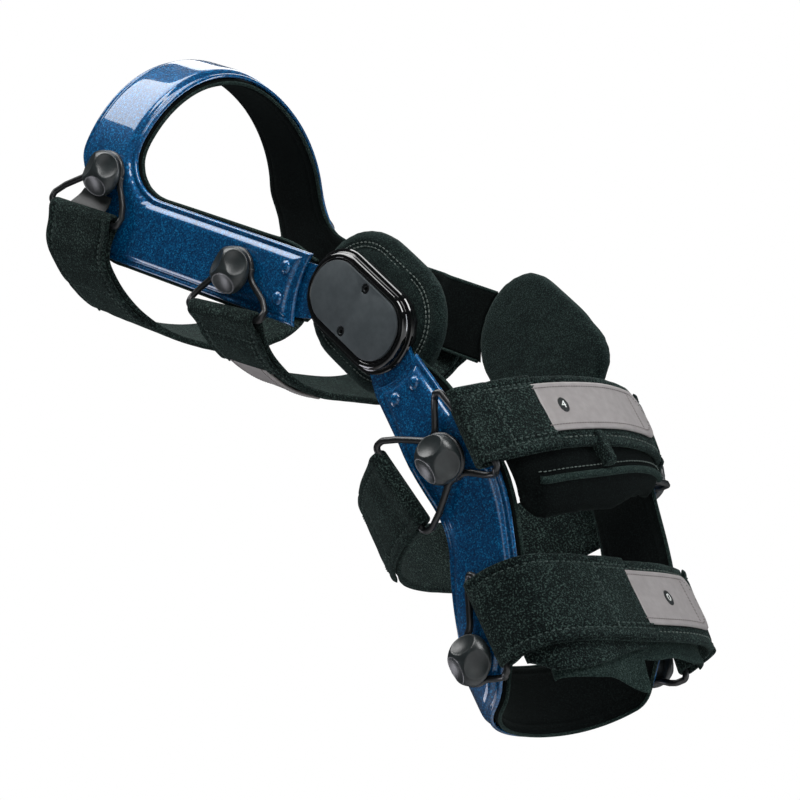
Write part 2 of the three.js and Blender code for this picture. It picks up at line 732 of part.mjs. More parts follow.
// Straps
// The middle line of a strap from its lateral bar to its medial bar.
function strapCourse(strap) {
  const { up } = limbs[strap.limb];
  const [first, last] = [strapEnd(strap, -1).bar, strapEnd(strap, 1).bar];
  const between = strap.route.map(({ x, a }) => {
    const share = (x - first.x) / (last.x - first.x);
    const sag = strap.towardKnee * (1 - (2 * share - 1) ** 2);
    return new THREE.Vector3(x, -a, THREE.MathUtils.lerp(first.z, last.z, share) - up * sag);
  });
  return new THREE.CatmullRomCurve3([first, ...between, last], false, 'centripetal');
}

// A band that follows a course. style gives its width, its inner and outer face, and its share of
// the course; ends are rounded when tip is set.
function band(strap, style) {
  const curve = strapCourse(strap);
  const { up } = limbs[strap.limb];
  const stations = Array.from({ length: strapSteps + 1 }, (_, i) => i / strapSteps)
    .slice(style.from, style.to + 1);
  const rings = [];
  const leans = [strapEnd(strap, -1).along, strapEnd(strap, 1).along];
  const across = new THREE.Vector3();
  for (const share of stations) {
    const p = curve.getPointAt(share);
    const ahead = curve.getTangentAt(share);
    const fade = Math.abs(2 * share - 1) ** 3;
    const lean = leans[share < 0.5 ? 0 : 1];
    across.set(lean.x * fade, lean.y * fade, up);
    across.addScaledVector(ahead, -across.dot(ahead)).normalize();
    const out = new THREE.Vector3().crossVectors(ahead, across).normalize();
    const flat = new THREE.Vector3(p.x, p.y * 1.2, 0);
    if (out.dot(flat) < 0) out.negate();
    const halfWidth = style.widthAt(share) / 2;
    const shift = style.shift ?? 0;
    const edge = Math.min(style.outer - style.inner, 3) * 0.35;
    const profile = [
      [-halfWidth, style.inner], [-halfWidth, style.outer - edge], [-halfWidth + edge, style.outer],
      [halfWidth - edge, style.outer], [halfWidth, style.outer - edge], [halfWidth, style.inner],
    ];
    rings.push(profile.map(([v, n]) => p.clone().addScaledVector(across, v + shift).addScaledVector(out, n)));
  }
  return loftRings(rings);
}

function rod(centre, direction, radius, length, sidesRound = 8) {
  const geometry = new THREE.CylinderGeometry(radius, radius, length, sidesRound);
  geometry.applyQuaternion(new THREE.Quaternion().setFromUnitVectors(new THREE.Vector3(0, 1, 0), direction));
  geometry.translate(centre.x, centre.y, centre.z);
  return solidOf(geometry);
}

function strapSolid(strap) {
  const half = strapThickness / 2;
  let solid = band(strap, { from: 0, to: strapSteps, inner: -half, outer: half, widthAt: () => strap.width });
  for (const side of Object.values(sides)) {
    const { bar, along, roll } = strapEnd(strap, side);
    solid = solid.add(rod(bar, along, roll, strap.width));
    solid = solid.subtract(rod(bar, along, holeRadius(wireRadius, 6), strap.width * 1.5, 6));
  }
  return solid.subtract(limbRoom(strap.limb));
}

function riderSolid(rider) {
  const strap = straps[rider.strap];
  const half = strapThickness / 2 + gap;
  const faces = rider.thickness
    ? { inner: -half - 2 * gap - rider.thickness, outer: -half - 2 * gap }
    : { inner: half, outer: half + tabThickness };
  const blunt = rider.thickness ? 0.75 : 0.6;
  const widthAt = (share) => {
    const step = Math.round(share * strapSteps);
    const ends = rider.thickness ? [rider.from, rider.to] : [rider.to];
    return rider.width * (ends.includes(step) ? blunt : 1);
  };
  return band(strap, { ...rider, ...faces, widthAt }).subtract(limbRoom(strap.limb));
}

const group = new THREE.Group();

function place(parent, name, solid, material) {
  const mesh = new THREE.Mesh(geometryOf(solid), materials[material]);
  mesh.name = name;
  parent.add(mesh);
}

function limbGroup(turn) {
  const limb = new THREE.Group();
  limb.rotation.x = turn;
  group.add(limb);
  return limb;
}

const groups = {
  thigh: limbGroup(-restFlexion),
  calf: limbGroup(0),
  hinge: limbGroup(-restFlexion / 2),
};

for (const [limb, { up }] of Object.entries(limbs)) {
  place(groups[limb], `${limb}_frame`, limbFrame(limb), 'shell');
  place(groups[limb], `${limb}_liner`, limbLiner(limb), 'lining');
  for (const [sideName, side] of Object.entries(sides)) {
    const [low, high] = ordered(side, layers.arm.inner, layers.arm.outer);
    const pivot = pivotIn(limb);
    const pivotHole = crossPin(holeRadius(pinRadius, 10), pivot.y, pivot.z, low - 1, high + 1, 10);
    place(groups[limb], `${limb}_hinge_arm_${sideName}`,
      cut(armPlate(limb, 0, low, high), pivotHole, ...rivetHoles(limb, sideName, low - 1, high + 1)), 'shell');
    rivets[limb][sideName].forEach((a, i) => {
      const head = kneeHalfWidth + gap;
      const rivet = turned([
        { r: 0, h: layers.arm.inner - head }, { r: rivetShank, h: layers.arm.inner - head },
        { r: rivetShank, h: 0 }, { r: rivetRadius, h: 0 }, { r: rivetRadius * 0.7, h: rivetHeight * 0.8 },
        { r: 0, h: rivetHeight },
      ], side, side * head, -a, up * rivets[limb].along, 6);
      place(groups[limb], `${limb}_rivet_${i + 1}_${sideName}`, rivet, 'shell');
    });
  }
}

for (const [name, knob] of Object.entries(knobs)) {
  for (const sideName of Object.keys(sides)) {
    place(groups[knob.limb], `${name}_knob_${sideName}`, knobSolid(knob, sideName), 'knob');
  }
}

for (const [name, strap] of Object.entries(straps)) {
  place(groups[strap.limb], name, strapSolid(strap), 'fabric');
  for (const [sideName, side] of Object.entries(sides)) {
    place(groups[strap.limb], `${name}_loop_${sideName}`, wireLoop(strap, side), 'wire');
  }
}

for (const [name, rider] of Object.entries(riders)) {
  place(groups[straps[rider.strap].limb], name, riderSolid(rider), rider.thickness ? 'lining' : 'tab');
}

for (const [sideName, side] of Object.entries(sides)) {
  place(groups.hinge, `hinge_cap_${sideName}`, hingeCap(side), 'gloss');
  place(groups.hinge, `hinge_badge_${sideName}`, hingeBadge(side), 'badge');
  place(groups.hinge, `hinge_back_${sideName}`, hingeBack(side), 'steel');
  place(groups.hinge, `condyle_pad_${sideName}`, condylePad(side), 'fabric');
  screwPlaces.forEach((spot, i) => {
    place(groups.hinge, `hinge_screw_${i + 1}_${sideName}`, hingeScrew(side, spot), 'steel');
  });
}

export default group;
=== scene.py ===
import math

import bmesh
import bpy
from mathutils import Matrix, Vector, noise


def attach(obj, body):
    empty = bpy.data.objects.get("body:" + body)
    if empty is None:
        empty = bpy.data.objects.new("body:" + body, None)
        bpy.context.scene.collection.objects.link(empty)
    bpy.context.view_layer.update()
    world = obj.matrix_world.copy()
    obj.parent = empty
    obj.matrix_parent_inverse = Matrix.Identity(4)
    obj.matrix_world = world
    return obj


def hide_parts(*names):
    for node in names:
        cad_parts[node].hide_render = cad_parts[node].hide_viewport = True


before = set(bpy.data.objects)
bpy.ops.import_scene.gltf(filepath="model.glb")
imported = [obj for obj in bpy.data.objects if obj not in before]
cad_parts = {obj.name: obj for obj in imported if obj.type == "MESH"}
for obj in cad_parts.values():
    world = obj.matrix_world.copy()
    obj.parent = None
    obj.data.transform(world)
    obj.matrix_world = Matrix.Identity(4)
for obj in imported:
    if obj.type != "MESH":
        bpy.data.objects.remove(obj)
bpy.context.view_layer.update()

MM = 0.001
SIDES = {"lateral": -1, "medial": 1}

# Posture: the thigh leans back by the whole flexion and each hinge by half of it.
REST_FLEXION = math.radians(39)
UP = {"thigh": 1, "calf": -1, "hinge": 1}
TURN = {
    "thigh": Matrix.Rotation(-REST_FLEXION, 4, "X"),
    "calf": Matrix.Identity(4),
    "hinge": Matrix.Rotation(-REST_FLEXION / 2, 4, "X"),
}

# The camera stands where the photograph was taken: below the brace and in front of its outer side.
CAMERA_AZIMUTH, CAMERA_ELEVATION, CAMERA_ROLL = -56.5, -25.0, -25.5
CAMERA_DISTANCE = 1300
CAMERA_RIGHT, CAMERA_UP = -25.54, -33.15
CAMERA_LENS = 129.87


# Geometry helpers
def smoothstep(x, low, high):
    t = min(max((x - low) / (high - low), 0), 1)
    return t * t * (3 - 2 * t)


def lerp(a, b, t):
    return a + (b - a) * t


def ladder(rows, x):
    """A smooth curve through rows of (x, y)."""
    if x <= rows[0][0]:
        return rows[0][1]
    for (x0, y0), (x1, y1) in zip(rows, rows[1:]):
        if x <= x1:
            return lerp(y0, y1, smoothstep(x, x0, x1))
    return rows[-1][1]


def steps(low, high, count):
    return [lerp(low, high, i / count) for i in range(count + 1)]


def bell(x, width):
    return math.exp(-(x / width) ** 2)


def grid_slab(us, vs, place):
    """A closed slab over a grid of us and vs. place(u, v, face) gives a point, face being 1 or -1."""
    bm = bmesh.new()
    bmesh.ops.create_grid(bm, x_segments=len(us) - 1, y_segments=len(vs) - 1, size=1)
    made = bmesh.ops.extrude_face_region(bm, geom=bm.faces[:])
    lower = [g for g in made["geom"] if isinstance(g, bmesh.types.BMVert)]
    bmesh.ops.translate(bm, verts=lower, vec=(0, 0, -1))
    for vert in bm.verts:
        i = round((vert.co.x + 1) / 2 * (len(us) - 1))
        j = round((vert.co.y + 1) / 2 * (len(vs) - 1))
        face = 1 if vert.co.z > -0.5 else -1
        vert.co = place(us[i], vs[j], face)
    bmesh.ops.recalc_face_normals(bm, faces=bm.faces)
    return bm


def ring_stack(rings):
    """A body through rings of equal length, each a list of points."""
    bm = bmesh.new()
    around = len(rings[0])
    bmesh.ops.create_circle(bm, segments=around, radius=1, cap_ends=True)
    bm.verts.ensure_lookup_table()
    loop = bm.verts[:]
    edges = [bm.edges.get((loop[k], loop[(k + 1) % around])) for k in range(around)]
    for vert, point in zip(loop, rings[0]):
        vert.co = point
    for ring in rings[1:]:
        made = bmesh.ops.extrude_edge_only(bm, edges=edges)
        fresh = {g for g in made["geom"] if isinstance(g, bmesh.types.BMVert)}
        loop = [next(e.other_vert(vert) for e in vert.link_edges if e.other_vert(vert) in fresh)
                for vert in loop]
        for vert, point in zip(loop, ring):
            vert.co = point
        edges = [bm.edges.get((loop[k], loop[(k + 1) % around])) for k in range(around)]
    bmesh.ops.contextual_create(bm, geom=edges)
    bmesh.ops.recalc_face_normals(bm, faces=bm.faces)
    return bm


def spun(profile, turns=48):
    """A body turned about Z through profile points (r, z) that start and end on the axis."""
    bm = bmesh.new()
    verts = [bm.verts.new((r, 0, z)) for r, z in profile]
    edges = [bm.edges.new(pair) for pair in zip(verts, verts[1:])]
    bmesh.ops.spin(bm, geom=verts + edges, axis=(0, 0, 1), cent=(0, 0, 0), angle=2 * math.pi,
                   steps=turns, use_merge=True)
    bmesh.ops.remove_doubles(bm, verts=bm.verts, dist=1e-4)
    bmesh.ops.recalc_face_normals(bm, faces=bm.faces)
    return bm


def flat_plate(outline, holes, low, high, bevel):
    """A plate in the XY plane with round holes (x, y, r), its edges bevelled."""
    bm = bmesh.new()
    loops = [outline] + [
        [Vector((x + r * math.cos(t), y + r * math.sin(t))) for t in steps(0, 2 * math.pi, 24)[:-1]]
        for x, y, r in holes]
    edges = []
    for loop in loops:
        verts = [bm.verts.new((p[0], p[1], low)) for p in loop]
        edges += [bm.edges.new((verts[k], verts[(k + 1) % len(verts)])) for k in range(len(verts))]
    bmesh.ops.triangle_fill(bm, edges=edges, use_beauty=True)
    made = bmesh.ops.extrude_face_region(bm, geom=bm.faces[:])
    raised = [g for g in made["geom"] if isinstance(g, bmesh.types.BMVert)]
    bmesh.ops.translate(bm, verts=raised, vec=(0, 0, high - low))
    bmesh.ops.recalc_face_normals(bm, faces=bm.faces)
    sharp = [e for e in bm.edges if len(e.link_faces) == 2 and e.calc_face_angle() > 1.2]
    bmesh.ops.bevel(bm, geom=sharp, offset=bevel, segments=2, profile=0.5, affect="EDGES", material=-1)
    return bm


def capsule(length, width, corner, inset=0, arc=10):
    """A rounded oblong along Y, as points, with corners of the given radius."""
    half_w, half_l, r = width / 2 - inset, length / 2 - inset, max(corner - inset, 0.3)
    points = []
    for start, (cx, cy) in enumerate([(1, 1), (-1, 1), (-1, -1), (1, -1)]):
        for k in range(arc + 1):
            turn = math.pi / 2 * (start + k / arc)
            x = cx * (half_w - r) + r * math.cos(turn)
            points.append(Vector((x, cy * (half_l - r) + r * math.sin(turn))))
    return points


def finish_piece(name, bm, limb, body, material, smooth=40, subdivide=0):
    """Puts a bmesh in the row frame as an object that rides on a body. With no limb it is there already."""
    if limb:
        bm.transform(TURN[limb])
        bm.transform(Matrix.Scale(MM, 4))
    mesh = bpy.data.meshes.new(name)
    bm.to_mesh(mesh)
    bm.free()
    for polygon in mesh.polygons:
        polygon.use_smooth = True
    mesh.materials.append(material)
    piece = bpy.data.objects.new(name, mesh)
    bpy.context.scene.collection.objects.link(piece)
    if smooth < 180:
        mesh.set_sharp_from_angle(angle=math.radians(smooth))
    if subdivide:
        modifier = piece.modifiers.new("surface", "SUBSURF")
        modifier.levels = modifier.render_levels = subdivide
    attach(piece, body)
    return piece


def curve_bmesh(curve):
    """The mesh that a curve or text makes, as a bmesh."""
    holder = bpy.data.objects.new("curve", curve)
    bpy.context.scene.collection.objects.link(holder)
    mesh = bpy.data.meshes.new_from_object(holder.evaluated_get(bpy.context.evaluated_depsgraph_get()))
    bm = bmesh.new()
    bm.from_mesh(mesh)
    bmesh.ops.remove_doubles(bm, verts=bm.verts, dist=1e-4)
    bmesh.ops.recalc_face_normals(bm, faces=bm.faces)
    bpy.data.objects.remove(holder)
    bpy.data.curves.remove(curve)
    bpy.data.meshes.remove(mesh)
    return bm


def joined(parts):
    """One bmesh from several."""
    whole = bmesh.new()
    for part in parts:
        mesh = bpy.data.meshes.new("part")
        part.to_mesh(mesh)
        part.free()
        whole.from_mesh(mesh)
        bpy.data.meshes.remove(mesh)
    return whole


# Limb shells, in a limb's own frame: +Z away from the foot, +Y back, -X lateral.
SHELL_WALL, GAP, RIM_HEIGHT = 3, 0.3, 1.2
KNEE_HALF_WIDTH = 68
WALLS = {
    "thigh": {
        "lateral": [(64, 68), (191, 73.5)],
        "medial": [(64, 68), (141, 66.5), (191, 68)],
    },
    "calf": {
        "lateral": [(66, 68), (116, 57)],
        "medial": [(63, 68), (104, 60), (124, 60.5), (150, 59.5), (181, 54.5)],
    },
}
CROWNS = {
    "thigh": {"x": -12, "depth": 81.5, "front": 1, "lateral": (18, 2.05), "medial": (14, 1.76)},
    "calf": {"x": -1.5, "depth": 58, "front": -1, "lateral": (18, 2.2), "medial": (18, 2.2)},
}
OVAL_STEPS = 64


def wall_at(limb, side, along):
    return ladder(WALLS[limb][side], along)


def oval_point(limb, side, turn, along):
    """x and reach of a shell's outer face where the oval has turned by turn from its crown."""
    crown = CROWNS[limb]
    flat, squareness = crown[side]
    wall = SIDES[side] * wall_at(limb, side, along)
    x = crown["x"] + (wall - crown["x"]) * math.sin(turn) ** (2 / squareness)
    return x, flat + (crown["depth"] - flat) * math.cos(turn) ** (2 / squareness)


def oval_table(limb, side):
    """Lengths round the oval from its crown, one for each step of its turn."""
    along = 170
    turns = steps(0, math.pi / 2, OVAL_STEPS)
    lengths = [0.0]
    before = oval_point(limb, side, 0, along)
    for turn in turns[1:]:
        after = oval_point(limb, side, min(turn, math.pi / 2), along)
        lengths.append(lengths[-1] + math.dist(before, after))
        before = after
    return turns, lengths


OVALS = {(limb, side): oval_table(limb, side) for limb in CROWNS for side in SIDES}


def lookup(xs, ys, x):
    """Linear interpolation in two rising tables."""
    if x <= xs[0]:
        return ys[0]
    for x0, x1, y0, y1 in zip(xs, xs[1:], ys, ys[1:]):
        if x <= x1:
            return lerp(y0, y1, (x - x0) / (x1 - x0))
    return ys[-1]


def round_length(limb, side, forward):
    """Length round a shell from its crown to where it stands forward of the limb's axis."""
    crown = CROWNS[limb]
    turns, lengths = OVALS[limb, side]
    flat, squareness = crown[side]
    reach = crown["front"] * forward
    if reach <= flat:
        return lengths[-1] + flat - reach
    share = min((reach - flat) / (crown["depth"] - flat), 1)
    return lookup(turns, lengths, math.acos(share ** (squareness / 2)))


def shell_base(limb, side, w, along):
    crown = CROWNS[limb]
    turns, lengths = OVALS[limb, side]
    if w >= lengths[-1]:
        x = SIDES[side] * wall_at(limb, side, along)
        reach = crown[side][0] - (w - lengths[-1])
    else:
        x, reach = oval_point(limb, side, lookup(lengths, turns, w), along)
    return Vector((x, -crown["front"] * reach, UP[limb] * along))


def shell_point(limb, side, w, along, out):
    """A point over a shell: w round it from the crown, along the limb, out from its outer face."""
    step = 0.6
    here = shell_base(limb, side, w, along)
    if w > step:
        round_way = shell_base(limb, side, w + step, along) - shell_base(limb, side, w - step, along)
    else:
        round_way = Vector((SIDES[side], 0, 0))
    down = shell_base(limb, side, w, along + step) - shell_base(limb, side, w, along - step)
    normal = round_way.cross(down).normalized()
    if normal.dot(Vector((here.x, here.y, 0))) < 0:
        normal.negate()
    return here + normal * out


def rounded_corner(before, here, after, radius, arc):
    """The points of an arc that rounds the corner at here."""
    a, b = (before - here).normalized(), (after - here).normalized()
    half = a.angle(b) / 2
    centre = here + (a + b).normalized() * (radius / math.sin(half))
    start = (here + a * (radius / math.tan(half)) - centre).normalized()
    end = (here + b * (radius / math.tan(half)) - centre).normalized()
    return [centre + start.slerp(end, k / arc) * radius for k in range(arc + 1)]


def filleted(corners, arc=8):
    """A run of corners (u, v, radius) with each corner rounded that has a radius."""
    points = [Vector(c[:2]) for c in corners]
    run = []
    for k, corner in enumerate(corners):
        if corner[2]:
            run += rounded_corner(points[k - 1], points[k], points[(k + 1) % len(points)], corner[2], arc)
        else:
            run.append(points[k])
    return run


# The two edges of each shell on either side, from the hinge to the crown: (forward, along, radius).
def thigh_edges(front, back):
    return ([(front, 36, 0), (front, 156, 24), (81.5, 158.4, 0)],
            [(back, 36, 0), (back, 161, 14), (26.8, 191, 14), (81.5, 191, 0)])


def calf_edges(bulge):
    return ([(16.8, 35, 0), (16.8 + bulge, 92, 45), (7.8, 140, 40), (-28.8, 179, 16), (-58, 180.2, 0)],
            [(-9.8, 35, 0), (-13.8, 103, 45), (-39.8, 148, 16), (-58, 148, 0)])


EDGES = {
    ("thigh", "lateral"): thigh_edges(16.8, -16.8),
    ("thigh", "medial"): thigh_edges(13.3, -18.8),
    ("calf", "lateral"): calf_edges(10),
    ("calf", "medial"): calf_edges(4),
}
# Where the two edges of a shell are level with each other, as shares of their lengths.
ANCHORS = {
    "thigh": ([0, 0.40, 0.60, 1], [0, 0.46, 0.66, 1]),
    "calf": ([0, 0.30, 0.58, 0.80, 1], [0, 0.34, 0.62, 0.80, 1]),
}


def run_lengths(run):
    lengths = [0.0]
    for p, q in zip(run, run[1:]):
        lengths.append(lengths[-1] + max((q - p).length, 1e-6))
    return [length / lengths[-1] for length in lengths]


class Half:
    """One side of a limb's shell, seen as a ribbon between its two edges."""

    def __init__(self, limb, side):
        self.limb, self.side = limb, side
        self.runs = []
        for corners in EDGES[limb, side]:
            dense = []
            corner_run = filleted(corners)
            for p, q in zip(corner_run, corner_run[1:]):
                dense += [p.lerp(q, k / 6) for k in range(6)]
            dense.append(Vector(corners[-1][:2]))
            run = [Vector((round_length(limb, side, p.x), p.y)) for p in dense]
            self.runs.append((run, run_lengths(run)))

    def edge(self, which, share):
        run, lengths = self.runs[which]
        anchors = ANCHORS[self.limb][which]
        share = lookup(steps(0, 1, len(anchors) - 1), anchors, share)
        return Vector([lookup(lengths, [p[axis] for p in run], share) for axis in (0, 1)])

    def row(self, share):
        """The two edge points at share, and the sine of the angle of the row to either edge."""
        near, far = self.edge(0, share), self.edge(1, share)
        sines = []
        for which in (0, 1):
            ahead = self.edge(which, min(share + 0.01, 1)) - self.edge(which, max(share - 0.01, 0))
            row = (far - near).normalized()
            sines.append(abs(ahead.normalized().cross(row)) if ahead.length > 0 else 1)
        return near, far, sines


HALVES = {(limb, side): Half(limb, side) for limb in CROWNS for side in SIDES}
ROW_STEPS = 90
EDGE_STEPS = [0, 0.3, 0.7, 1.2, 1.7, 2.3, 2.9, 3.5, 4.2, 5.0, 6.2, 8.5]


def ribbon(limb, widen, start, outer, inner, narrow=0, rims=None):
    """A closed wall that follows a limb's shell from hinge to hinge. widen moves its edges out, start
    moves its ends away from the knee, narrow draws its edges in beside the hinge, and outer and inner
    give each face's height at a distance from the edge. rims collects its two edge lines."""
    columns = [("near", d) for d in EDGE_STEPS] + [("mid", f) for f in (0.35, 0.5, 0.65)]
    columns += [("far", d) for d in reversed(EDGE_STEPS)]
    rows = []
    for side in SIDES:
        half = HALVES[limb, side]
        length = sum((half.edge(0, k / 40) - half.edge(0, (k + 1) / 40)).length for k in range(40))
        shares = [e / length for e in EDGE_STEPS]
        shares += [s for s in steps(0, 1, ROW_STEPS) if s > EDGE_STEPS[-1] / length + 0.005]
        rows.append([(side, s, s * length) for s in shares])
    whole = rows[0] + rows[1][-2::-1]
    cache = {}

    def place(u, v, face):
        side, share, from_end = whole[int(u)]
        half = HALVES[limb, side]
        if (u, "row") not in cache:
            cache[u, "row"] = half.row(share)
        near, far, sines = cache[u, "row"]
        direction = (far - near).normalized()
        reach = lerp(widen, -narrow if side == "lateral" else widen, bell(from_end, 9))
        low, high = near - direction * reach, far + direction * reach
        width = (high - low).length
        kind, value = columns[int(v)]
        if kind == "near":
            along_row = value / max(sines[0], 0.5)
        elif kind == "far":
            along_row = width - value / max(sines[1], 0.5)
        else:
            along_row = lerp(EDGE_STEPS[-1], width - EDGE_STEPS[-1], (value - 0.2) / 0.6)
        point = low + direction * along_row
        bow = start[side] * (1 - smoothstep(from_end, 0, 26))
        across = (along_row / width - 0.5) * 2
        bow += (0.75 - across ** 2) * 3.2 * (1 - smoothstep(from_end, 0, 16))
        point = Vector((point.x, point.y + bow))
        inside = min(along_row * sines[0], (width - along_row) * sines[1])
        if from_end < 9:
            inside = min(inside, from_end)
        height = outer(inside, point.y) if face > 0 else inner(inside, point.y)
        return shell_point(limb, side, point.x, point.y, height)

    for column in (0, len(columns) - 1) if rims is not None else ():
        rims.append([(place(u, column, 1) + place(u, column, -1)) / 2 for u in range(2, len(whole) - 2)])
    return grid_slab(list(range(len(whole))), list(range(len(columns))), place)


# The shell's edge is rolled: a bead at the rim, a groove, then a shoulder up to the plate.
SHELL_PROFILE = [(0, -2.1), (0.3, -1.3), (0.7, -0.9), (1.2, -0.75), (1.7, -0.9), (2.3, -1.25), (2.9, -1.3),
                 (3.5, -0.75), (4.2, 0.05), (5.0, 0.6), (6.2, 0.85), (8.5, 0.9)]


def piecewise(rows, x):
    return lookup([r[0] for r in rows], [r[1] for r in rows], x)


def shell_outer(inside, along):
    return piecewise(SHELL_PROFILE, inside)


def shell_inner(inside, along):
    return -2.9 + 0.6 * bell(inside, 0.5)


def liner_outer(inside, along):
    pocket = 1 - smoothstep(along, 62, 68)
    return lerp(-3.4, -6.8, pocket) - 1.2 * bell(inside, 0.7)


def liner_inner(inside, along):
    pocket = 1 - smoothstep(along, 62, 68)
    puff = 0.45 * (1 - bell(inside, 3.2)) - 0.35 * bell(inside - 4.2, 0.7)
    return lerp(-6.4 - puff, -8.2, pocket) + 1.3 * bell(inside, 0.8)


# Materials
def linear(hex_colour):
    channels = [int(hex_colour[k:k + 2], 16) / 255 for k in (1, 3, 5)]
    return tuple(c / 12.92 if c <= 0.04045 else ((c + 0.055) / 1.055) ** 2.4 for c in channels) + (1,)


def add_node(tree, kind, links=(), stops=(), **settings):
    """Adds a node. settings are its own properties or, where it has no such property, its inputs;
    links are (input, node or (node, output)), and stops are a colour ramp's (position, colour)."""
    node = tree.nodes.new(kind)
    for name, value in settings.items():
        if hasattr(node, name):
            setattr(node, name, value)
        else:
            node.inputs[name.replace("_", " ")].default_value = value
    for socket, source in links:
        source, output = source if isinstance(source, tuple) else (source, 0)
        tree.links.new(source.outputs[output], node.inputs[socket])
    for number, (position, colour) in enumerate(stops):
        if number >= len(node.color_ramp.elements):
            node.color_ramp.elements.new(position)
        element = node.color_ramp.elements[number]
        element.position, element.color = position, linear(colour)
    return node


def new_material(name):
    material = bpy.data.materials.new(name)
    material.use_nodes = True
    material.node_tree.nodes.clear()
    return material, material.node_tree


def close_material(tree, shader):
    add_node(tree, "ShaderNodeOutputMaterial", [("Surface", shader)])


def flake_lacquer():
    """Metallic blue lacquer on formed aluminium: 0.6 mm flakes glint under a deep clear coat."""
    material, tree = new_material("metallic_blue_lacquer")
    where = add_node(tree, "ShaderNodeTexCoord")
    flakes = add_node(tree, "ShaderNodeTexVoronoi", [("Vector", (where, "Object"))], Scale=1650)
    cell = add_node(tree, "ShaderNodeSeparateColor", [("Color", (flakes, "Color"))])
    colour = add_node(tree, "ShaderNodeValToRGB", [("Fac", (cell, "Red"))],
                      stops=[(0.0, "#002c4e"), (0.55, "#00406c"), (0.85, "#025688"), (1.0, "#1572a6")])
    tilt = add_node(tree, "ShaderNodeBump", [("Height", (cell, "Green"))], Strength=0.06, Distance=0.0002)
    shader = add_node(tree, "ShaderNodeBsdfPrincipled", [("Base Color", colour), ("Normal", tilt)],
                      Metallic=0.30, Roughness=0.45)
    shader.inputs["Specular IOR Level"].default_value = 0.12
    shader.inputs["Coat Weight"].default_value = 1.0
    shader.inputs["Coat Roughness"].default_value = 0.05
    close_material(tree, shader)
    return material


def pile_fabric(name, dark, mid, light, scale, bump, sheen=0.12):
    """Brushed loop fabric: short fuzzy pile, drawn at about 0.8 mm, speckled light on dark."""
    material, tree = new_material(name)
    where = add_node(tree, "ShaderNodeTexCoord")
    pile = add_node(tree, "ShaderNodeTexNoise", [("Vector", (where, "Object"))],
                    Scale=scale, Detail=3, Roughness=0.6)
    worn = add_node(tree, "ShaderNodeTexNoise", [("Vector", (where, "Object"))], Scale=90, Detail=3)
    blend = add_node(tree, "ShaderNodeMix", [("A", (pile, "Fac")), ("B", (worn, "Fac"))], Factor=0.12)
    colour = add_node(tree, "ShaderNodeValToRGB", [("Fac", blend)],
                      stops=[(0.40, dark), (0.52, mid), (0.66, light)])
    fuzz = add_node(tree, "ShaderNodeBump", [("Height", (pile, "Fac"))], Strength=bump, Distance=0.0008)
    shader = add_node(tree, "ShaderNodeBsdfPrincipled", [("Base Color", colour), ("Normal", fuzz)],
                      Roughness=0.95)
    shader.inputs["Specular IOR Level"].default_value = 0.06
    shader.inputs["Sheen Weight"].default_value = sheen
    shader.inputs["Sheen Roughness"].default_value = 0.5
    shader.inputs["Sheen Tint"].default_value = linear("#7d918c")
    close_material(tree, shader)
    return material


def moulded_plastic(name, dark, light, roughness, grain, coat=0.0):
    """Injection-moulded nylon or ABS, with a fine spark-eroded grain."""
    material, tree = new_material(name)
    where = add_node(tree, "ShaderNodeTexCoord")
    mottle = add_node(tree, "ShaderNodeTexNoise", [("Vector", (where, "Object"))], Scale=260, Detail=3)
    colour = add_node(tree, "ShaderNodeValToRGB", [("Fac", mottle)], stops=[(0.35, dark), (0.7, light)])
    fine = add_node(tree, "ShaderNodeTexNoise", [("Vector", (where, "Object"))], Scale=2200, Detail=2)
    relief = add_node(tree, "ShaderNodeBump", [("Height", (fine, "Fac"))], Strength=grain, Distance=0.0001)
    shader = add_node(tree, "ShaderNodeBsdfPrincipled", [("Base Color", colour), ("Normal", relief)],
                      Roughness=roughness)
    shader.inputs["Coat Weight"].default_value = coat
    shader.inputs["Coat Roughness"].default_value = 0.05
    close_material(tree, shader)
    return material


def dark_metal(name, dark, light, roughness):
    """Black-oxide steel: dull, with faint scuffs."""
    material, tree = new_material(name)
    where = add_node(tree, "ShaderNodeTexCoord")
    scuffs = add_node(tree, "ShaderNodeTexNoise", [("Vector", (where, "Object"))], Scale=400, Detail=4)
    colour = add_node(tree, "ShaderNodeValToRGB", [("Fac", scuffs)], stops=[(0.35, dark), (0.75, light)])
    shader = add_node(tree, "ShaderNodeBsdfPrincipled", [("Base Color", colour)],
                      Metallic=0.8, Roughness=roughness)
    close_material(tree, shader)
    return material


LACQUER = flake_lacquer()
# Loop webbing and its thread, the pads' cover, stretch lining, thin tricot, ABS, nylon and urethane.
STRAP_PILE = pile_fabric("brushed_loop_strap", "#030606", "#0c1515", "#3b4b46", 1300, 1.0, sheen=0.2)
PAD_PILE = pile_fabric("brushed_pad_cover", "#060c0c", "#101a1a", "#2b3935", 1700, 0.7, sheen=0.25)
LINING = pile_fabric("lycra_foam_lining", "#020404", "#050808", "#0f1615", 1600, 0.3, sheen=0.05)
TRICOT = pile_fabric("tricot_flap", "#0c1514", "#1b2725", "#36443f", 1600, 0.4)
THREAD = pile_fabric("bonded_thread", "#2b3634", "#3c4845", "#5a6663", 2500, 0.3)
PALE_THREAD = pile_fabric("pale_thread", "#3a4340", "#59625e", "#7a827e", 2500, 0.3)
GLOSS = moulded_plastic("gloss_black_abs", "#020303", "#060707", 0.08, 0.02, coat=0.6)
BADGE = moulded_plastic("satin_grey_plate", "#3a4043", "#43494c", 0.4, 0.05)
KNOB = moulded_plastic("satin_charcoal_nylon", "#1a1f20", "#242a2b", 0.34, 0.06)
COATED_WIRE = moulded_plastic("black_coated_wire", "#0c0e0f", "#15181a", 0.36, 0.04)
TAB = moulded_plastic("grey_urethane_tab", "#84807f", "#8e8a89", 0.5, 0.12)
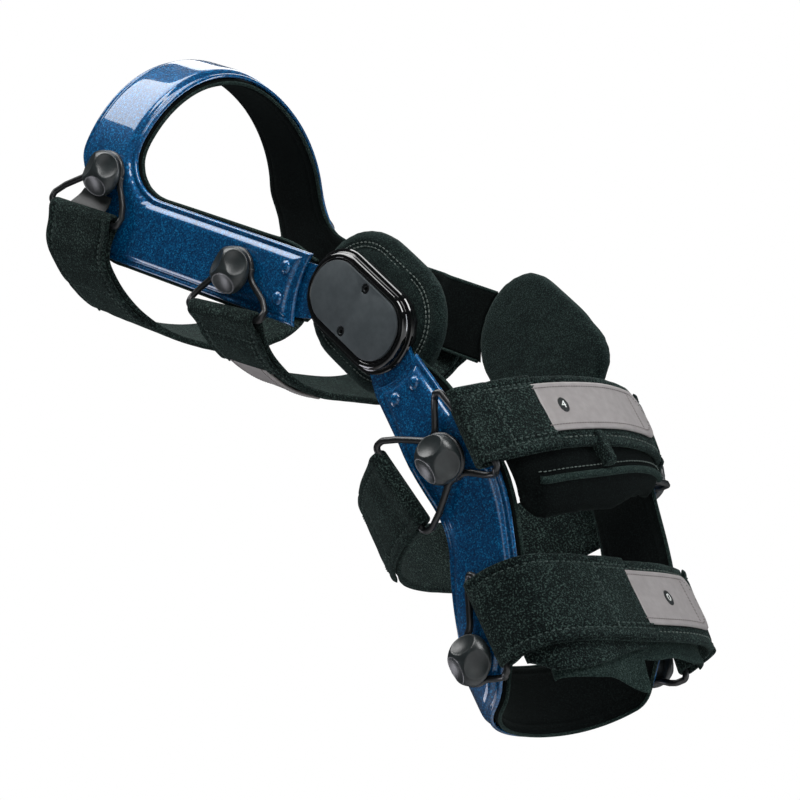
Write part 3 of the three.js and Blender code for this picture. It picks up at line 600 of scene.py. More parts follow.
TAB_SEAM = moulded_plastic("pressed_tab_seam", "#6a6564", "#736d6c", 0.55, 0.12)
GUARD = moulded_plastic("satin_black_guard", "#0d1212", "#161c1c", 0.5, 0.08)
INK = moulded_plastic("black_print", "#0a0f0f", "#121818", 0.5, 0.05)
PRINT = moulded_plastic("white_print", "#c9cdca", "#dde0dd", 0.5, 0.05)
STEEL = dark_metal("black_oxide_steel", "#191b1c", "#35393b", 0.38)


# Shells and liners: how far each side's end stands away from the knee.
SHELL_ENDS = {"lateral": 0, "medial": 0}
LINER_ENDS = {"lateral": 0.5, "medial": -5}


def make_shells():
    for limb in ("thigh", "calf"):
        shell = ribbon(limb, 0, SHELL_ENDS, shell_outer, shell_inner)
        piece = finish_piece(f"{limb}_shell", shell, limb, limb, LACQUER, 180, subdivide=1)
        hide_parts(f"{limb}_frame")
        rims = []
        liner = ribbon(limb, 1.0, LINER_ENDS, liner_outer, liner_inner, narrow=3, rims=rims)
        piece = finish_piece(f"{limb}_padding", liner, limb, limb, LINING, 180, subdivide=1)
        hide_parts(f"{limb}_liner")
        piping = joined([tube(rim[::2], 0.85, closed=False, sides=8) for rim in rims])
        finish_piece(f"{limb}_padding_piping", piping, limb, limb, TRICOT, 180)


# Knobs and wire loops
WIRE_RADIUS, BAR_CORNER = 1.5, 2.4
LOOP_PITCH = 2 * WIRE_RADIUS + GAP
# How far a strap's turn stands out from its bar's middle.
BAR_ROLL = WIRE_RADIUS + GAP + 4.6 * 0.6
KNOB_RADIUS, KNOB_NECK, KNOB_HEIGHT, KNOB_SHANK = 10.9, 7.2, 7.5, 2.5
KNOBS = {
    "thigh_upper": {"limb": "thigh", "forward": {"lateral": 21, "medial": 11}, "along": 166, "loops": 1},
    "thigh_lower": {"limb": "thigh", "forward": {"lateral": -1.5, "medial": -3}, "along": 74, "loops": 1},
    "calf_upper": {"limb": "calf", "forward": {"lateral": 9, "medial": 9}, "along": 82, "loops": 2},
    "calf_lower": {"limb": "calf", "forward": {"lateral": -27, "medial": -25.5}, "along": 160, "loops": 1},
}
STRAPS = {
    "upper_thigh_strap": {
        "limb": "thigh", "knob": "thigh_upper", "level": 0, "width": 41, "toward_knee": 8,
        "bars": {"lateral": (None, 0, 171, -2), "medial": (None, -8, 171, -2)},
        "route": [(-77.5, -16), (-70, -26), (-54, -38), (-30, -47), (0, -50), (29, -47), (52, -39), (66, -28),
                  (72.5, -18)],
        "folds": (0.3, 0.86),
    },
    "lower_thigh_strap": {
        "limb": "thigh", "knob": "thigh_lower", "level": 0, "width": 40, "toward_knee": 3,
        "bars": {"lateral": (None, -21, 71, 6), "medial": (None, -21, 71, 6)},
        "route": [(-58, -36), (-34, -46.5), (0, -49), (34, -46.5), (58, -36)],
        "folds": (0.2, 0.86),
    },
    "upper_calf_strap": {
        "limb": "calf", "knob": "calf_upper", "level": 1, "width": 37, "toward_knee": 3,
        "bars": {"lateral": (None, -17, 82, 5), "medial": (None, -17, 82, 5)},
        "route": [(-60, -38.5), (-41.5, -58), (-19.5, -68), (0, -70), (19.5, -68), (41, -58), (58, -38.5)],
        "folds": (0.3, 0.86),
    },
    "upper_shin_strap": {
        "limb": "calf", "knob": "calf_upper", "level": 0, "width": 36, "toward_knee": -1,
        "bars": {"lateral": (None, 27.5, 81, -5), "medial": (54, 27, 77, -3)},
        "route": [(-57, 36), (-33, 44.5), (0, 48), (19, 46), (34, 42), (44, 37)],
        "folds": (0.275, 0.9),
    },
    "lower_shin_strap": {
        "limb": "calf", "knob": "calf_lower", "level": 0, "width": 40, "toward_knee": -6,
        "bars": {"lateral": (None, -10, 152, 6), "medial": (None, -9, 155, 6)},
        "route": [(-62, -1), (-56, 9.5), (-45, 15.5), (-26, 20), (0, 22), (28, 20.5), (47, 15.5), (58, 9),
                  (64, 0)],
        "folds": (0.48, 0.86),
    },
}


def wall_slope(limb, side, along):
    return (wall_at(limb, side, along + 9) - wall_at(limb, side, along - 9)) / 18


def knob_place(knob, side):
    """Where a knob stands: its Z leaves the shell squarely, from the shell's outer face."""
    limb, sign = knob["limb"], SIDES[side]
    slope = wall_slope(limb, side, knob["along"])
    outward = Vector((sign, 0, -UP[limb] * slope)).normalized()
    turn = Vector((0, 0, 1)).rotation_difference(outward)
    wall = wall_at(limb, side, knob["along"])
    at = Vector((sign * wall, -knob["forward"][side], UP[limb] * knob["along"]))
    return Matrix.Translation(at) @ turn.to_matrix().to_4x4()


def make_knobs():
    """Domes with three dished finger flats that lean out from the axis."""
    lean, flat_depth, dish = math.radians(41), 6.75, 15
    twists = {"lateral": math.radians(100), "medial": math.radians(40)}
    for name, knob in KNOBS.items():
        base = RIM_HEIGHT + 2 * GAP + knob["loops"] * LOOP_PITCH
        profile = [(0, -SHELL_WALL), (KNOB_SHANK, -SHELL_WALL), (KNOB_SHANK, 1.2), (KNOB_NECK, 1.2),
                   (KNOB_NECK, base), (KNOB_RADIUS - 1.0, base), (KNOB_RADIUS - 0.3, base + 0.3),
                   (KNOB_RADIUS, base + 0.9)]
        for k in range(1, 23):
            turn = math.pi / 2 * k / 22
            profile.append((KNOB_RADIUS * max(math.cos(turn), 0) ** 0.72,
                            base + 0.9 + (KNOB_HEIGHT - 0.9) * math.sin(turn) ** 0.95))
        profile[-1] = (0, base + KNOB_HEIGHT)
        for side in SIDES:
            bm = spun(profile, 84)
            turns = [twists[side] + 2 * math.pi * k / 3 for k in range(3)]
            axes = [Vector((math.sin(lean) * math.cos(turn), math.sin(lean) * math.sin(turn), math.cos(lean)))
                    for turn in turns]
            for vert in bm.verts:
                if vert.co.z < base + 0.5:
                    continue
                p = vert.co - Vector((0, 0, base))
                for axis in axes:
                    height = p.dot(axis)
                    aside = (p - axis * height).length
                    over = height - (flat_depth + aside ** 2 / (2 * dish))
                    if over > 0:
                        p -= axis * over
                vert.co = p + Vector((0, 0, base))
            bm.transform(knob_place(knob, side))
            piece = finish_piece(f"{name}_dial_{side}", bm, knob["limb"], knob["limb"], KNOB, 60)
            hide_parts(f"{name}_knob_{side}")


def strap_end(strap, side):
    knob, limb, sign = KNOBS[strap["knob"]], strap["limb"], SIDES[side]
    x, a, along, lean = strap["bars"][side]
    rise = RIM_HEIGHT + 2 * GAP + WIRE_RADIUS + strap["level"] * LOOP_PITCH
    neck = knob_place(knob, side) @ Vector((0, 0, rise))
    out = x or max(wall_at(limb, side, along) + RIM_HEIGHT + GAP + BAR_ROLL, abs(neck.x))
    bar = Vector((sign * out, -a, UP[limb] * along))
    slope = wall_slope(limb, side, knob["along"])
    lean = math.radians(lean)
    axis = Vector((sign * slope, math.sin(lean), UP[limb] * math.cos(lean))).normalized()
    lift_from = KNOB_RADIUS + (3 if x else 1)
    return {"neck": neck, "bar": bar, "axis": axis, "lift_from": lift_from}


def loop_plane(end):
    """A loop's way from its knob to its bar, its reach that way, its slip along the bar and its lift."""
    across, axis = end["bar"] - end["neck"], end["axis"]
    away = Vector((1, 0, 0)).cross(axis).normalized()
    if away.dot(across) < 0:
        away.negate()
    reach = across.dot(away)
    slip = (across.z - away.z * reach) / axis.z
    return away, reach, slip, across.x - away.x * reach - axis.x * slip


def wire_path(strap, side):
    end = strap_end(strap, side)
    neck, axis = end["neck"], end["axis"]
    away, reach, slip, lift = loop_plane(end)
    ring = (KNOB_NECK + GAP + WIRE_RADIUS) / math.cos(math.pi / 8)
    half_bar = strap["width"] / 2 + GAP + BAR_CORNER
    run = filleted([
        (reach - BAR_ROLL - GAP, slip + half_bar, 0), (reach, slip + half_bar, BAR_CORNER),
        (reach, slip - half_bar, BAR_CORNER), (reach - BAR_ROLL - GAP, slip - half_bar, 0), (2, -ring, 9),
        (-ring, -ring, ring - 0.1), (-ring, ring, ring - 0.1), (2, ring, 9)], arc=6)
    points = []
    for p in run:
        share = smoothstep(p.x, end["lift_from"], reach - WIRE_RADIUS)
        points.append(Vector((neck.x + lift * share, neck.y, neck.z)) + away * p.x + axis * p.y)
    return [p for p, q in zip(points, points[1:] + points[:1]) if (p - q).length > 0.05]


def tube(points, radius, closed=True, sides=12):
    """A wire of round section through points, on a smooth closed or open curve."""
    curve = bpy.data.curves.new("wire", "CURVE")
    curve.dimensions = "3D"
    curve.bevel_depth, curve.bevel_resolution, curve.use_fill_caps = radius, sides // 4, True
    spline = curve.splines.new("BEZIER")
    spline.bezier_points.add(len(points) - 1)
    for knot, point in zip(spline.bezier_points, points):
        knot.co = point
        knot.handle_left_type = knot.handle_right_type = "AUTO"
    spline.use_cyclic_u, spline.resolution_u = closed, 3
    return curve_bmesh(curve)


def make_loops():
    for name, strap in STRAPS.items():
        for side in SIDES:
            bm = tube(wire_path(strap, side), WIRE_RADIUS)
            limb = strap["limb"]
            piece = finish_piece(f"{name}_wire_{side}", bm, limb, limb, COATED_WIRE, 180)
            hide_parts(f"{name}_loop_{side}")


# Straps
class Course:
    """The middle line of a strap from its lateral bar to its medial bar, with a frame along it."""

    def __init__(self, strap):
        self.limb, self.width = strap["limb"], strap["width"]
        up = UP[self.limb]
        self.ends = {side: strap_end(strap, side) for side in SIDES}
        first, last = self.ends["lateral"]["bar"], self.ends["medial"]["bar"]
        knots = [first]
        for x, a in strap["route"]:
            share = (x - first.x) / (last.x - first.x)
            sag = strap["toward_knee"] * (1 - (2 * share - 1) ** 2)
            knots.append(Vector((x, -a, lerp(first.z, last.z, share) - up * sag)))
        knots.append(last)
        self.points = self.centripetal(knots)
        self.shares = run_lengths(self.points)
        self.length = sum((q - p).length for p, q in zip(self.points, self.points[1:]))
        self.stations = [self.station(k / 240) for k in range(241)]

    @staticmethod
    def centripetal(knots):
        dense = []
        count = len(knots)
        for k in range(count - 1):
            p1, p2 = knots[k], knots[k + 1]
            p0 = knots[k - 1] if k else p1 * 2 - p2
            p3 = knots[k + 2] if k + 2 < count else p2 * 2 - p1
            d0, d1, d2 = ((p1 - p0).length ** 0.5, (p2 - p1).length ** 0.5, (p3 - p2).length ** 0.5)
            t1 = ((p1 - p0) / d0 - (p2 - p0) / (d0 + d1) + (p2 - p1) / d1) * d1
            t2 = ((p2 - p1) / d1 - (p3 - p1) / (d1 + d2) + (p3 - p2) / d2) * d1
            for j in range(24):
                t = j / 24
                dense.append(p1 * (2 * t ** 3 - 3 * t ** 2 + 1) + t1 * (t ** 3 - 2 * t ** 2 + t)
                             + p2 * (3 * t ** 2 - 2 * t ** 3) + t2 * (t ** 3 - t ** 2))
        dense.append(knots[-1])
        return dense

    def point(self, share):
        for k in range(len(self.shares) - 1):
            if share <= self.shares[k + 1]:
                span = self.shares[k + 1] - self.shares[k]
                return self.points[k].lerp(self.points[k + 1], (share - self.shares[k]) / span)
        return self.points[-1]

    def station(self, share):
        p = self.point(share)
        ahead = (self.point(min(share + 0.008, 1)) - self.point(max(share - 0.008, 0))).normalized()
        fade = abs(2 * share - 1) ** 3
        lean = self.ends["lateral" if share < 0.5 else "medial"]["axis"]
        across = Vector((lean.x * fade, lean.y * fade, UP[self.limb]))
        across = (across - ahead * across.dot(ahead)).normalized()
        out = ahead.cross(across).normalized()
        if out.dot(Vector((p.x, p.y * 1.2, 0))) < 0:
            out.negate()
        return p, ahead, across, out

    def frame_at(self, share):
        place = min(max(share, 0), 1) * (len(self.stations) - 1)
        k = min(int(place), len(self.stations) - 2)
        return [a.lerp(b, place - k) for a, b in zip(self.stations[k], self.stations[k + 1])]

    def at(self, share, v, n):
        p, ahead, across, out = self.frame_at(share)
        return p + across * v + out * n


COURSES = {name: Course(strap) for name, strap in STRAPS.items()}
LAYER = 2.4
SEAM_INSET, CROSS_SEAM = 4.2, 22


def edge_round(v, half, radius):
    """How much of a strap's thickness is left at v from its middle line."""
    over = abs(v) - (half - radius)
    return math.sqrt(max(1 - (over / radius) ** 2, 0.02)) if over > 0 else 1


def across_steps(half, seam, radius=1.3, middle=10):
    """Where a strap's columns stand across it: close together at its edges and its two seams."""
    near = [half - radius * (1 - math.cos(t)) for t in steps(0, math.pi / 2, 4)]
    near += [seam + d for d in (-1.8, -0.8, 0, 0.8, 1.8)]
    inner = steps(-seam + 1.8, seam - 1.8, middle)[1:-1]
    return sorted([-x for x in near] + inner + near)


def wave(name, share, v):
    """How far worn webbing stands above or below its flat face."""
    spot = Vector((share * COURSES[name].length, v, 31.0 * len(name)))
    return 0.55 * noise.noise(spot / 19) + 0.22 * noise.noise(spot / 6)


def strap_path(name):
    """Stations of a strap's one band: folded end, lateral bar, whole course, medial bar, folded end.
    Each is (share or angle, kind, middle height, half thickness)."""
    course, strap = COURSES[name], STRAPS[name]
    low, high = strap["folds"]
    ring = WIRE_RADIUS + GAP + LAYER / 2
    near = 9 / course.length
    path = []
    for share in steps(low, 0, 44):
        path.append((share, "fold", lerp(ring, 1.75, smoothstep(share, 0, near)), LAYER / 2))
    for angle in steps(0, math.pi, 8)[1:-1]:
        path.append((angle, "lateral", ring, LAYER / 2))
    for share in steps(0, 1, 110):
        edge = min(share, 1 - share)
        under = smoothstep(share, low - 0.005, low + 0.02)
        under *= 1 - smoothstep(share, high - 0.02, high + 0.005)
        middle = lerp(-1.15, -0.5, under)
        middle = lerp(-ring, middle, smoothstep(edge, 0, near))
        path.append((share, "base", middle, lerp(1.15, 1.75, under)))
    for angle in steps(math.pi, 0, 8)[1:-1]:
        path.append((angle, "medial", ring, LAYER / 2))
    for share in steps(1, high, 24):
        path.append((share, "fold", lerp(ring, 1.75, smoothstep(1 - share, 0, near)), LAYER / 2))
    return path


def strap_band(name):
    course = COURSES[name]
    half = course.width / 2
    path = strap_path(name)
    last = len(path) - 1
    seams = half - SEAM_INSET
    low = STRAPS[name]["folds"][0]

    def place(u, v, face):
        k = int(u)
        value, kind, middle, thick = path[k]
        left = edge_round(v, half, 1.3)
        end = min(k, last - k)
        if end < 3:
            left *= (0.35, 0.8, 0.95)[end]
        if kind in ("lateral", "medial"):
            share = 0 if kind == "lateral" else 1
            p, ahead, across, out = course.frame_at(share)
            back = -ahead if kind == "lateral" else ahead
            normal = out * math.cos(value) + back * math.sin(value)
            return p + across * v + normal * (middle + face * thick * left)
        p, ahead, across, out = course.frame_at(value)
        facing = 1 if kind == "fold" else -1
        height = middle + face * facing * thick * left
        if face * facing > 0:
            height += wave(name, value, v) - 0.75 * bell(abs(v) - seams, 0.9)
            if kind == "fold" and value < 0.5:
                height -= 0.5 * bell((value - low) * course.length + CROSS_SEAM, 0.9)
        drift = 0.35 * noise.noise(Vector((value * course.length / 17, 9.0 + math.copysign(3, v), len(name))))
        return p + across * (v + drift * abs(v) / half) + out * height

    return grid_slab(list(range(len(path))), across_steps(half, seams), place)


def stitch_row(spots, length=2.0, radius=0.42):
    """Thread dashes at spots (point, along, out)."""
    dashes = []
    for point, along, out in spots:
        bm = bmesh.new()
        bmesh.ops.create_uvsphere(bm, u_segments=6, v_segments=4, radius=1)
        side = along.cross(out).normalized()
        turn = Matrix((along, side, out)).transposed().to_4x4()
        bm.transform(Matrix.Translation(point) @ turn @ Matrix.Diagonal((length / 2, radius, radius, 1)))
        dashes.append(bm)
    return joined(dashes)


def course_spots(name, low, high, v, n, pitch=2.8):
    course = COURSES[name]
    count = max(int(abs(high - low) * course.length / pitch), 1)
    spots = []
    for share in steps(low, high, count):
        p, ahead, across, out = course.frame_at(share)
        spots.append((p + across * v + out * (n + wave(name, share, v)), ahead, out))
    return spots


def cross_spots(name, share, low, high, n, pitch=2.8):
    course = COURSES[name]
    p, ahead, across, out = course.frame_at(share)
    count = max(int((high - low) / pitch), 1)
    return [(p + across * v + out * (n + wave(name, share, v)), across, out)
            for v in steps(low, high, count)]


def make_straps():
    for name, strap in STRAPS.items():
        limb, half = strap["limb"], strap["width"] / 2
        band = strap_band(name)
        piece = finish_piece(f"{name}_band", band, limb, limb, STRAP_PILE, 180, subdivide=1)
        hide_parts(name)
        low, high = strap["folds"]
        top = 2.4
        seam = half - SEAM_INSET
        cross = low - CROSS_SEAM / COURSES[name].length
        spots = []
        for v in (-seam, seam):
            spots += course_spots(name, 0.03, low - 0.01, v, top)
            spots += course_spots(name, high + 0.01, 0.97, v, top)
            spots += course_spots(name, cross, low - 0.01, v * (1 - 2 / seam), top + 0.5)
        spots += cross_spots(name, cross, -seam + 0.8, seam - 0.8, top + 0.2)
        finish_piece(f"{name}_stitching", stitch_row(spots), limb, limb, THREAD, 180)
        spots = []
        for v in (-seam, seam):
            spots += course_spots(name, low + 0.03, high - 0.03, v, 0.75)
        row = stitch_row(spots, radius=0.36)
        finish_piece(f"{name}_base_stitching", row, limb, limb, PALE_THREAD, 180)


# Pieces that lie along a strap: share is along its course, v away from the knee, n outwards.
def strip(name, low, high, count, edges, faces, rim=1.0, middle=10):
    """A closed strip. edges(share) gives its two v, faces(share, v) its inner and outer n."""
    course = COURSES[name]
    shares = steps(low, high, count)
    fractions = [0, 0.015, 0.05, 0.1] + steps(0.16, 0.84, middle) + [0.9, 0.95, 0.985, 1]

    def place(u, f, face):
        v0, v1 = edges(u)
        v = lerp(v0, v1, f)
        inner, outer = faces(u, v)
        d = min(min(f, 1 - f) * abs(v1 - v0), min(u - low, high - u) * course.length)
        left = math.sqrt(max(1 - (1 - min(d / rim, 1)) ** 2, 0.03))
        middle_n, thick = (inner + outer) / 2, (outer - inner) / 2 * left
        return course.at(u, v, middle_n + face * thick)

    return grid_slab(shares, fractions, place)


TABS = {
    "upper_shin": {"low": 0.26, "high": 0.85, "v": -1, "half": 12, "tip": 12, "mark": (0.345, "4")},
    "lower_shin": {"low": 0.46, "high": 0.805, "v": 0, "half": 13.5, "tip": 9, "mark": (0.60, "0")},
    "lower_thigh": {"low": 0.18, "high": 0.4375, "v": 0, "half": 12.5, "tip": 6, "mark": None},
}
TAB_FACES = (1.5, 3.1)


def tab_half(tab, length, share, inset=0):
    """Half of a tab's width at share: straight sides and a round tip."""
    left = (tab["high"] - share) * length - inset
    radius = tab["tip"]
    if left >= radius:
        return tab["half"] - inset
    return tab["half"] - radius + math.sqrt(max(radius ** 2 - (radius - max(left, 0)) ** 2, 0)) - inset


def on_course(bm, name, share, v, n):
    """Lays a flat shape on a strap: X along it, Y to the knee, Z outwards."""
    p, ahead, across, out = COURSES[name].frame_at(share)
    lay = Matrix((ahead, -across, out)).transposed().to_4x4()
    bm.transform(Matrix.Translation(p + across * v + out * n) @ lay)
    return bm


def numeral(text, size, thick):
    curve = bpy.data.curves.new("numeral", "FONT")
    curve.body, curve.size, curve.extrude = text, size, thick / 2
    curve.align_x, curve.align_y, curve.resolution_u = "CENTER", "CENTER", 4
    return curve_bmesh(curve)


def make_tabs():
    for key, tab in TABS.items():
        name = f"{key}_strap"
        limb, length = STRAPS[name]["limb"], COURSES[name].length

        def edges(share, tab=tab, length=length):
            half = max(tab_half(tab, length, share), 0.4)
            return tab["v"] - half, tab["v"] + half

        bm = strip(name, tab["low"], tab["high"], 90, edges, lambda share, v: TAB_FACES, rim=0.7)
        piece = finish_piece(f"{key}_pull_tab", bm, limb, limb, TAB, 60)
        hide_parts(f"{key}_tab")
        course = COURSES[name]
        spots = []
        inset = 2.6
        seam_end = tab["high"] - (inset + 0.8) / length
        shares = steps(tab["low"], seam_end, round((seam_end - tab["low"]) * length / 1.6))
        for way in (-1, 1):
            for share in shares:
                half = tab_half(tab, length, share + inset / length * 0.4, inset)
                p, ahead, across, out = course.frame_at(share)
                edge = across * (tab["v"] + way * half)
                spots.append((p + edge + out * (TAB_FACES[1] + 0.02), ahead, out))
        crease = tab["high"] - (tab["tip"] + 4) / length
        for share in (crease, crease - 0.9 / length):
            p, ahead, across, out = course.frame_at(share)
            for v in steps(tab["v"] - tab["half"] + 4, tab["v"] + tab["half"] - 4, 12):
                spots.append((p + across * v + out * (TAB_FACES[1] - 0.1), across, out))
        seam = stitch_row(spots, length=1.9, radius=0.3)
        finish_piece(f"{key}_tab_seam", seam, limb, limb, TAB_SEAM, 180)
        if tab["mark"]:
            share, text = tab["mark"]
            oval = [Vector((2.7 * math.cos(t), 3.7 * math.sin(t))) for t in steps(0, 2 * math.pi, 40)[:-1]]
            disc = on_course(flat_plate(oval, [], 0, 0.35, 0.1), name, share, tab["v"], TAB_FACES[1] - 0.1)
            finish_piece(f"{key}_tab_oval", disc, limb, limb, INK, 40)
            sign = on_course(numeral(text, 5.2, 0.14), name, share, tab["v"], TAB_FACES[1] + 0.3)
            finish_piece(f"{key}_tab_numeral", sign, limb, limb, PRINT, 40)


# Cushions, remeshed in voxels of this size before they are swollen.
CUSHION_VOXEL = 2.4


def inflated(bm, voxel, limit):
    """A cushion swollen by cloth simulation, no point of it moving further than limit."""
    scene = bpy.context.scene
    bm.transform(Matrix.Scale(MM, 4))
    mesh = bpy.data.meshes.new("cushion")
    bm.to_mesh(mesh)
    bm.free()
    cushion = bpy.data.objects.new("cushion", mesh)
    scene.collection.objects.link(cushion)
    remesh = cushion.modifiers.new("remesh", "REMESH")
    remesh.mode, remesh.voxel_size = "VOXEL", voxel * MM
    even = bpy.data.meshes.new_from_object(cushion.evaluated_get(bpy.context.evaluated_depsgraph_get()))
    cushion.modifiers.clear()
    cushion.data = even
    cloth = cushion.modifiers.new("cloth", "CLOTH")
    cloth.settings.use_pressure, cloth.settings.uniform_pressure_force = True, 4
    cloth.settings.quality, cloth.settings.effector_weights.gravity = 6, 0
    for number in range(1, 21):
        scene.frame_set(number)
    swollen = bpy.data.meshes.new_from_object(cushion.evaluated_get(bpy.context.evaluated_depsgraph_get()))
    for vert, start in zip(swollen.vertices, even.vertices):
        move = vert.co - start.co
        if move.length > limit * MM:
            vert.co = start.co + move * (limit * MM / move.length)
    soft = bmesh.new()
    soft.from_mesh(swollen)
    soft.transform(Matrix.Scale(1 / MM, 4))
    bmesh.ops.smooth_vert(soft, verts=soft.verts, factor=0.5, use_axis_x=True, use_axis_y=True,
                          use_axis_z=True)
    bpy.data.objects.remove(cushion)
    scene.frame_set(1)
    return soft


def make_pads_on_straps():
    name = "upper_shin_strap"
    course = COURSES[name]

    def pad_edges(share):
        end = min(share - 0.09, 0.89 - share)
        pull = 7 * (1 - smoothstep(end, 0, 0.08))
        return -12 + pull, lerp(42, 33, smoothstep(share, 0.45, 0.8)) - pull

    def pad_faces(share, v):
        tuck = smoothstep(v, bound(share) - 3, bound(share) + 13)
        return -10.4 - 9 * tuck, -3.8 - 9 * tuck

    def bound(share):
        return lerp(30, 25, smoothstep(share, 0.3, 0.85)) - 4 * bell(share - 0.12, 0.035)

    pad = strip(name, 0.09, 0.89, 74, pad_edges, pad_faces, rim=3.2, middle=20)
    pad = inflated(pad, CUSHION_VOXEL, 1.6)
    piece = finish_piece("shin_cushion", pad, "calf", "calf", LINING, 180, subdivide=1)
    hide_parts("tibia_pad")
    edge = [course.at(share, bound(share), -3.9) for share in steps(0.165, 0.875, 40)]
    binding = tube(edge, 1.7, closed=False)
    finish_piece("shin_cushion_binding", binding, "calf", "calf", TRICOT, 180)
    spots = []
    for share in steps(0.17, 0.86, 40):
        p, ahead, across, out = course.frame_at(share)
        spots.append((p + across * (bound(share) - 3.4) - out * 2.55, ahead, out))
    row = stitch_row(spots, radius=0.3)
    finish_piece("shin_cushion_stitching", row, "calf", "calf", PALE_THREAD, 180)
    keeper = strip(name, 0.425, 0.47, 10, lambda share: (11, 27.5), lambda share, v: (-4, 3.0), rim=1.4)
    finish_piece("shin_strap_keeper", keeper, "calf", "calf", STRAP_PILE, 180, subdivide=1)

    def flap_edges(share):
        tail = lerp(34, 42, smoothstep(share, 0.3, 0.425))
        tail = lerp(tail, 25, smoothstep(share, 0.425, 0.455))
        return -10, tail + 0.8 * math.sin(share * 29)

    def flap_faces(share, v):
        sway = 1.3 * math.sin(share * 24 + v * 0.05) * smoothstep(v, 18, 40)
        return -7.6 + sway, -5.9 + sway

    flap = strip("lower_shin_strap", 0.12, 0.875, 110, flap_edges, flap_faces, rim=0.9, middle=16)
    piece = finish_piece("lower_shin_flap", flap, "calf", "calf", TRICOT, 180, subdivide=1)
    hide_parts("lower_shin_lining")

    def slack_edges(share):
        return 8, lerp(23, 31, smoothstep(share, 0.03, 0.16)) - 9 * smoothstep(share, 0.22, 0.46)

    def slack_faces(share, v):
        return -5.2, -2.7

    slack = strip("lower_shin_strap", 0.035, 0.47, 60, slack_edges, slack_faces, rim=1.2, middle=12)
    finish_piece("lower_shin_strap_slack", slack, "calf", "calf", STRAP_PILE, 180, subdivide=1)


def make_tongue():
    """The nylon tongue between the wires of the upper thigh strap's outer loop."""
    end = strap_end(STRAPS["upper_thigh_strap"], "lateral")
    neck, axis = end["neck"], end["axis"]
    away, reach, slip, lift = loop_plane(end)
    out = away.cross(axis).normalized()
    if out.x > 0:
        out.negate()

    def place(u, f, face):
        share = smoothstep(u, end["lift_from"], reach - WIRE_RADIUS)
        wide = lerp(6.5, 12.5, u / reach)
        soft = math.sqrt(max(1 - f ** 8, 0.1))
        middle = Vector((neck.x + lift * share, neck.y, neck.z)) + away * u
        return middle + axis * (slip * u / reach + f * wide) + out * (face * 0.8 * soft)

    across = [-1, -0.96, -0.85] + steps(-0.6, 0.6, 4) + [0.85, 0.96, 1]
    bm = grid_slab(steps(KNOB_NECK + 2.5, reach - BAR_ROLL + 1, 16), across, place)
    finish_piece("upper_thigh_strap_tongue", bm, "thigh", "thigh", GUARD, 50)


# Hinges
ARM_OUTER = KNEE_HALF_WIDTH - SHELL_WALL - GAP
CAP_BASE = ARM_OUTER + GAP
ARM_THICKNESS, BACK_THICKNESS, PAD_THICKNESS = 3, 2, 10
PAD_BACK, MEDIAL_PAD_DROP = 0.6, 11
SCREWS = [(-11.2, 0), (11.2, 0)]
# Length, width and corner of the rounded oblongs.
COVER_OUTLINE, PLATE_OUTLINE, PAD_OUTLINE = (66, 39, 18.5), (55, 28.5, 13.6), (80, 64, 30)
SCREW_PROFILE = [(0, 2), (2.05, 2), (2.05, 5.35), (1.75, 5.65), (1.15, 5.65), (0.95, 5.45), (0.95, 4.2),
                 (0, 4.2)]
RIVET_PROFILE = [(0, -6), (2, -6), (2, 0.3), (3.1, 0.8), (3.0, 1.1), (2.6, 1.6), (1.9, 2.05), (1.0, 2.3),
                 (0, 2.35)]
# Sections through the cover's moulded rim and the pad's soft edge: (inset, height).
COVER_LEVELS = [(0.5, 0), (0, 0.4), (0, 1.5), (0.35, 1.95), (1.2, 2.1), (1.7, 2.35), (1.75, 3.2), (2.0, 4.1),
                (2.6, 4.8), (3.4, 5.1), (4.2, 5.0), (4.75, 4.6), (4.85, 4.35), (6.5, 4.35)]
PAD_LEVELS = [(9, 0.6), (5, 0.5), (2.6, 1.2), (1.4, 2.6), (1.0, 5), (1.4, 7.6), (2.8, 9.0), (5, 9.4),
              (9, 9.3), (14, 9.0), (20, 9.0)]


def on_side(bm, side, x):
    """Stands a shape modelled in the XY plane (x across, y along) on one side of the knee, Z outwards."""
    sign = SIDES[side]
    stand = Matrix(((0, 0, sign, sign * x), (1, 0, 0, 0), (0, 1, 0, 0), (0, 0, 0, 1)))
    bm.transform(stand)
    bmesh.ops.recalc_face_normals(bm, faces=bm.faces)
    return bm


def make_hinges():
    for side in SIDES:
        body = f"hinge_{side}"
        rings = [[p.to_3d() + Vector((0, 0, h)) for p in capsule(*COVER_OUTLINE, inset, 12)]
                 for inset, h in COVER_LEVELS]
        cover = on_side(ring_stack(rings), side, CAP_BASE)
        piece = finish_piece(f"hinge_cover_{side}", cover, "hinge", body, GLOSS, 35)
        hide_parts(f"hinge_cap_{side}")
        badge = flat_plate(capsule(*PLATE_OUTLINE), [(x, y, 2.3) for x, y in SCREWS], 4.5, 5.9, 0.25)
        badge = on_side(badge, side, CAP_BASE)
        piece = finish_piece(f"hinge_plate_{side}", badge, "hinge", body, BADGE, 35)
        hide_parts(f"hinge_badge_{side}")
        for k, (x, y) in enumerate(SCREWS):
            screw = spun(SCREW_PROFILE, 24)
            screw.transform(Matrix.Translation((x, y, 0)))
            screw = on_side(screw, side, CAP_BASE)
            name = f"hinge_screw_{k + 1}_{side}"
            piece = finish_piece(f"socket_screw_{k + 1}_{side}", screw, "hinge", body, STEEL, 35)
            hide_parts(name)
        make_condyle_pad(side, body)


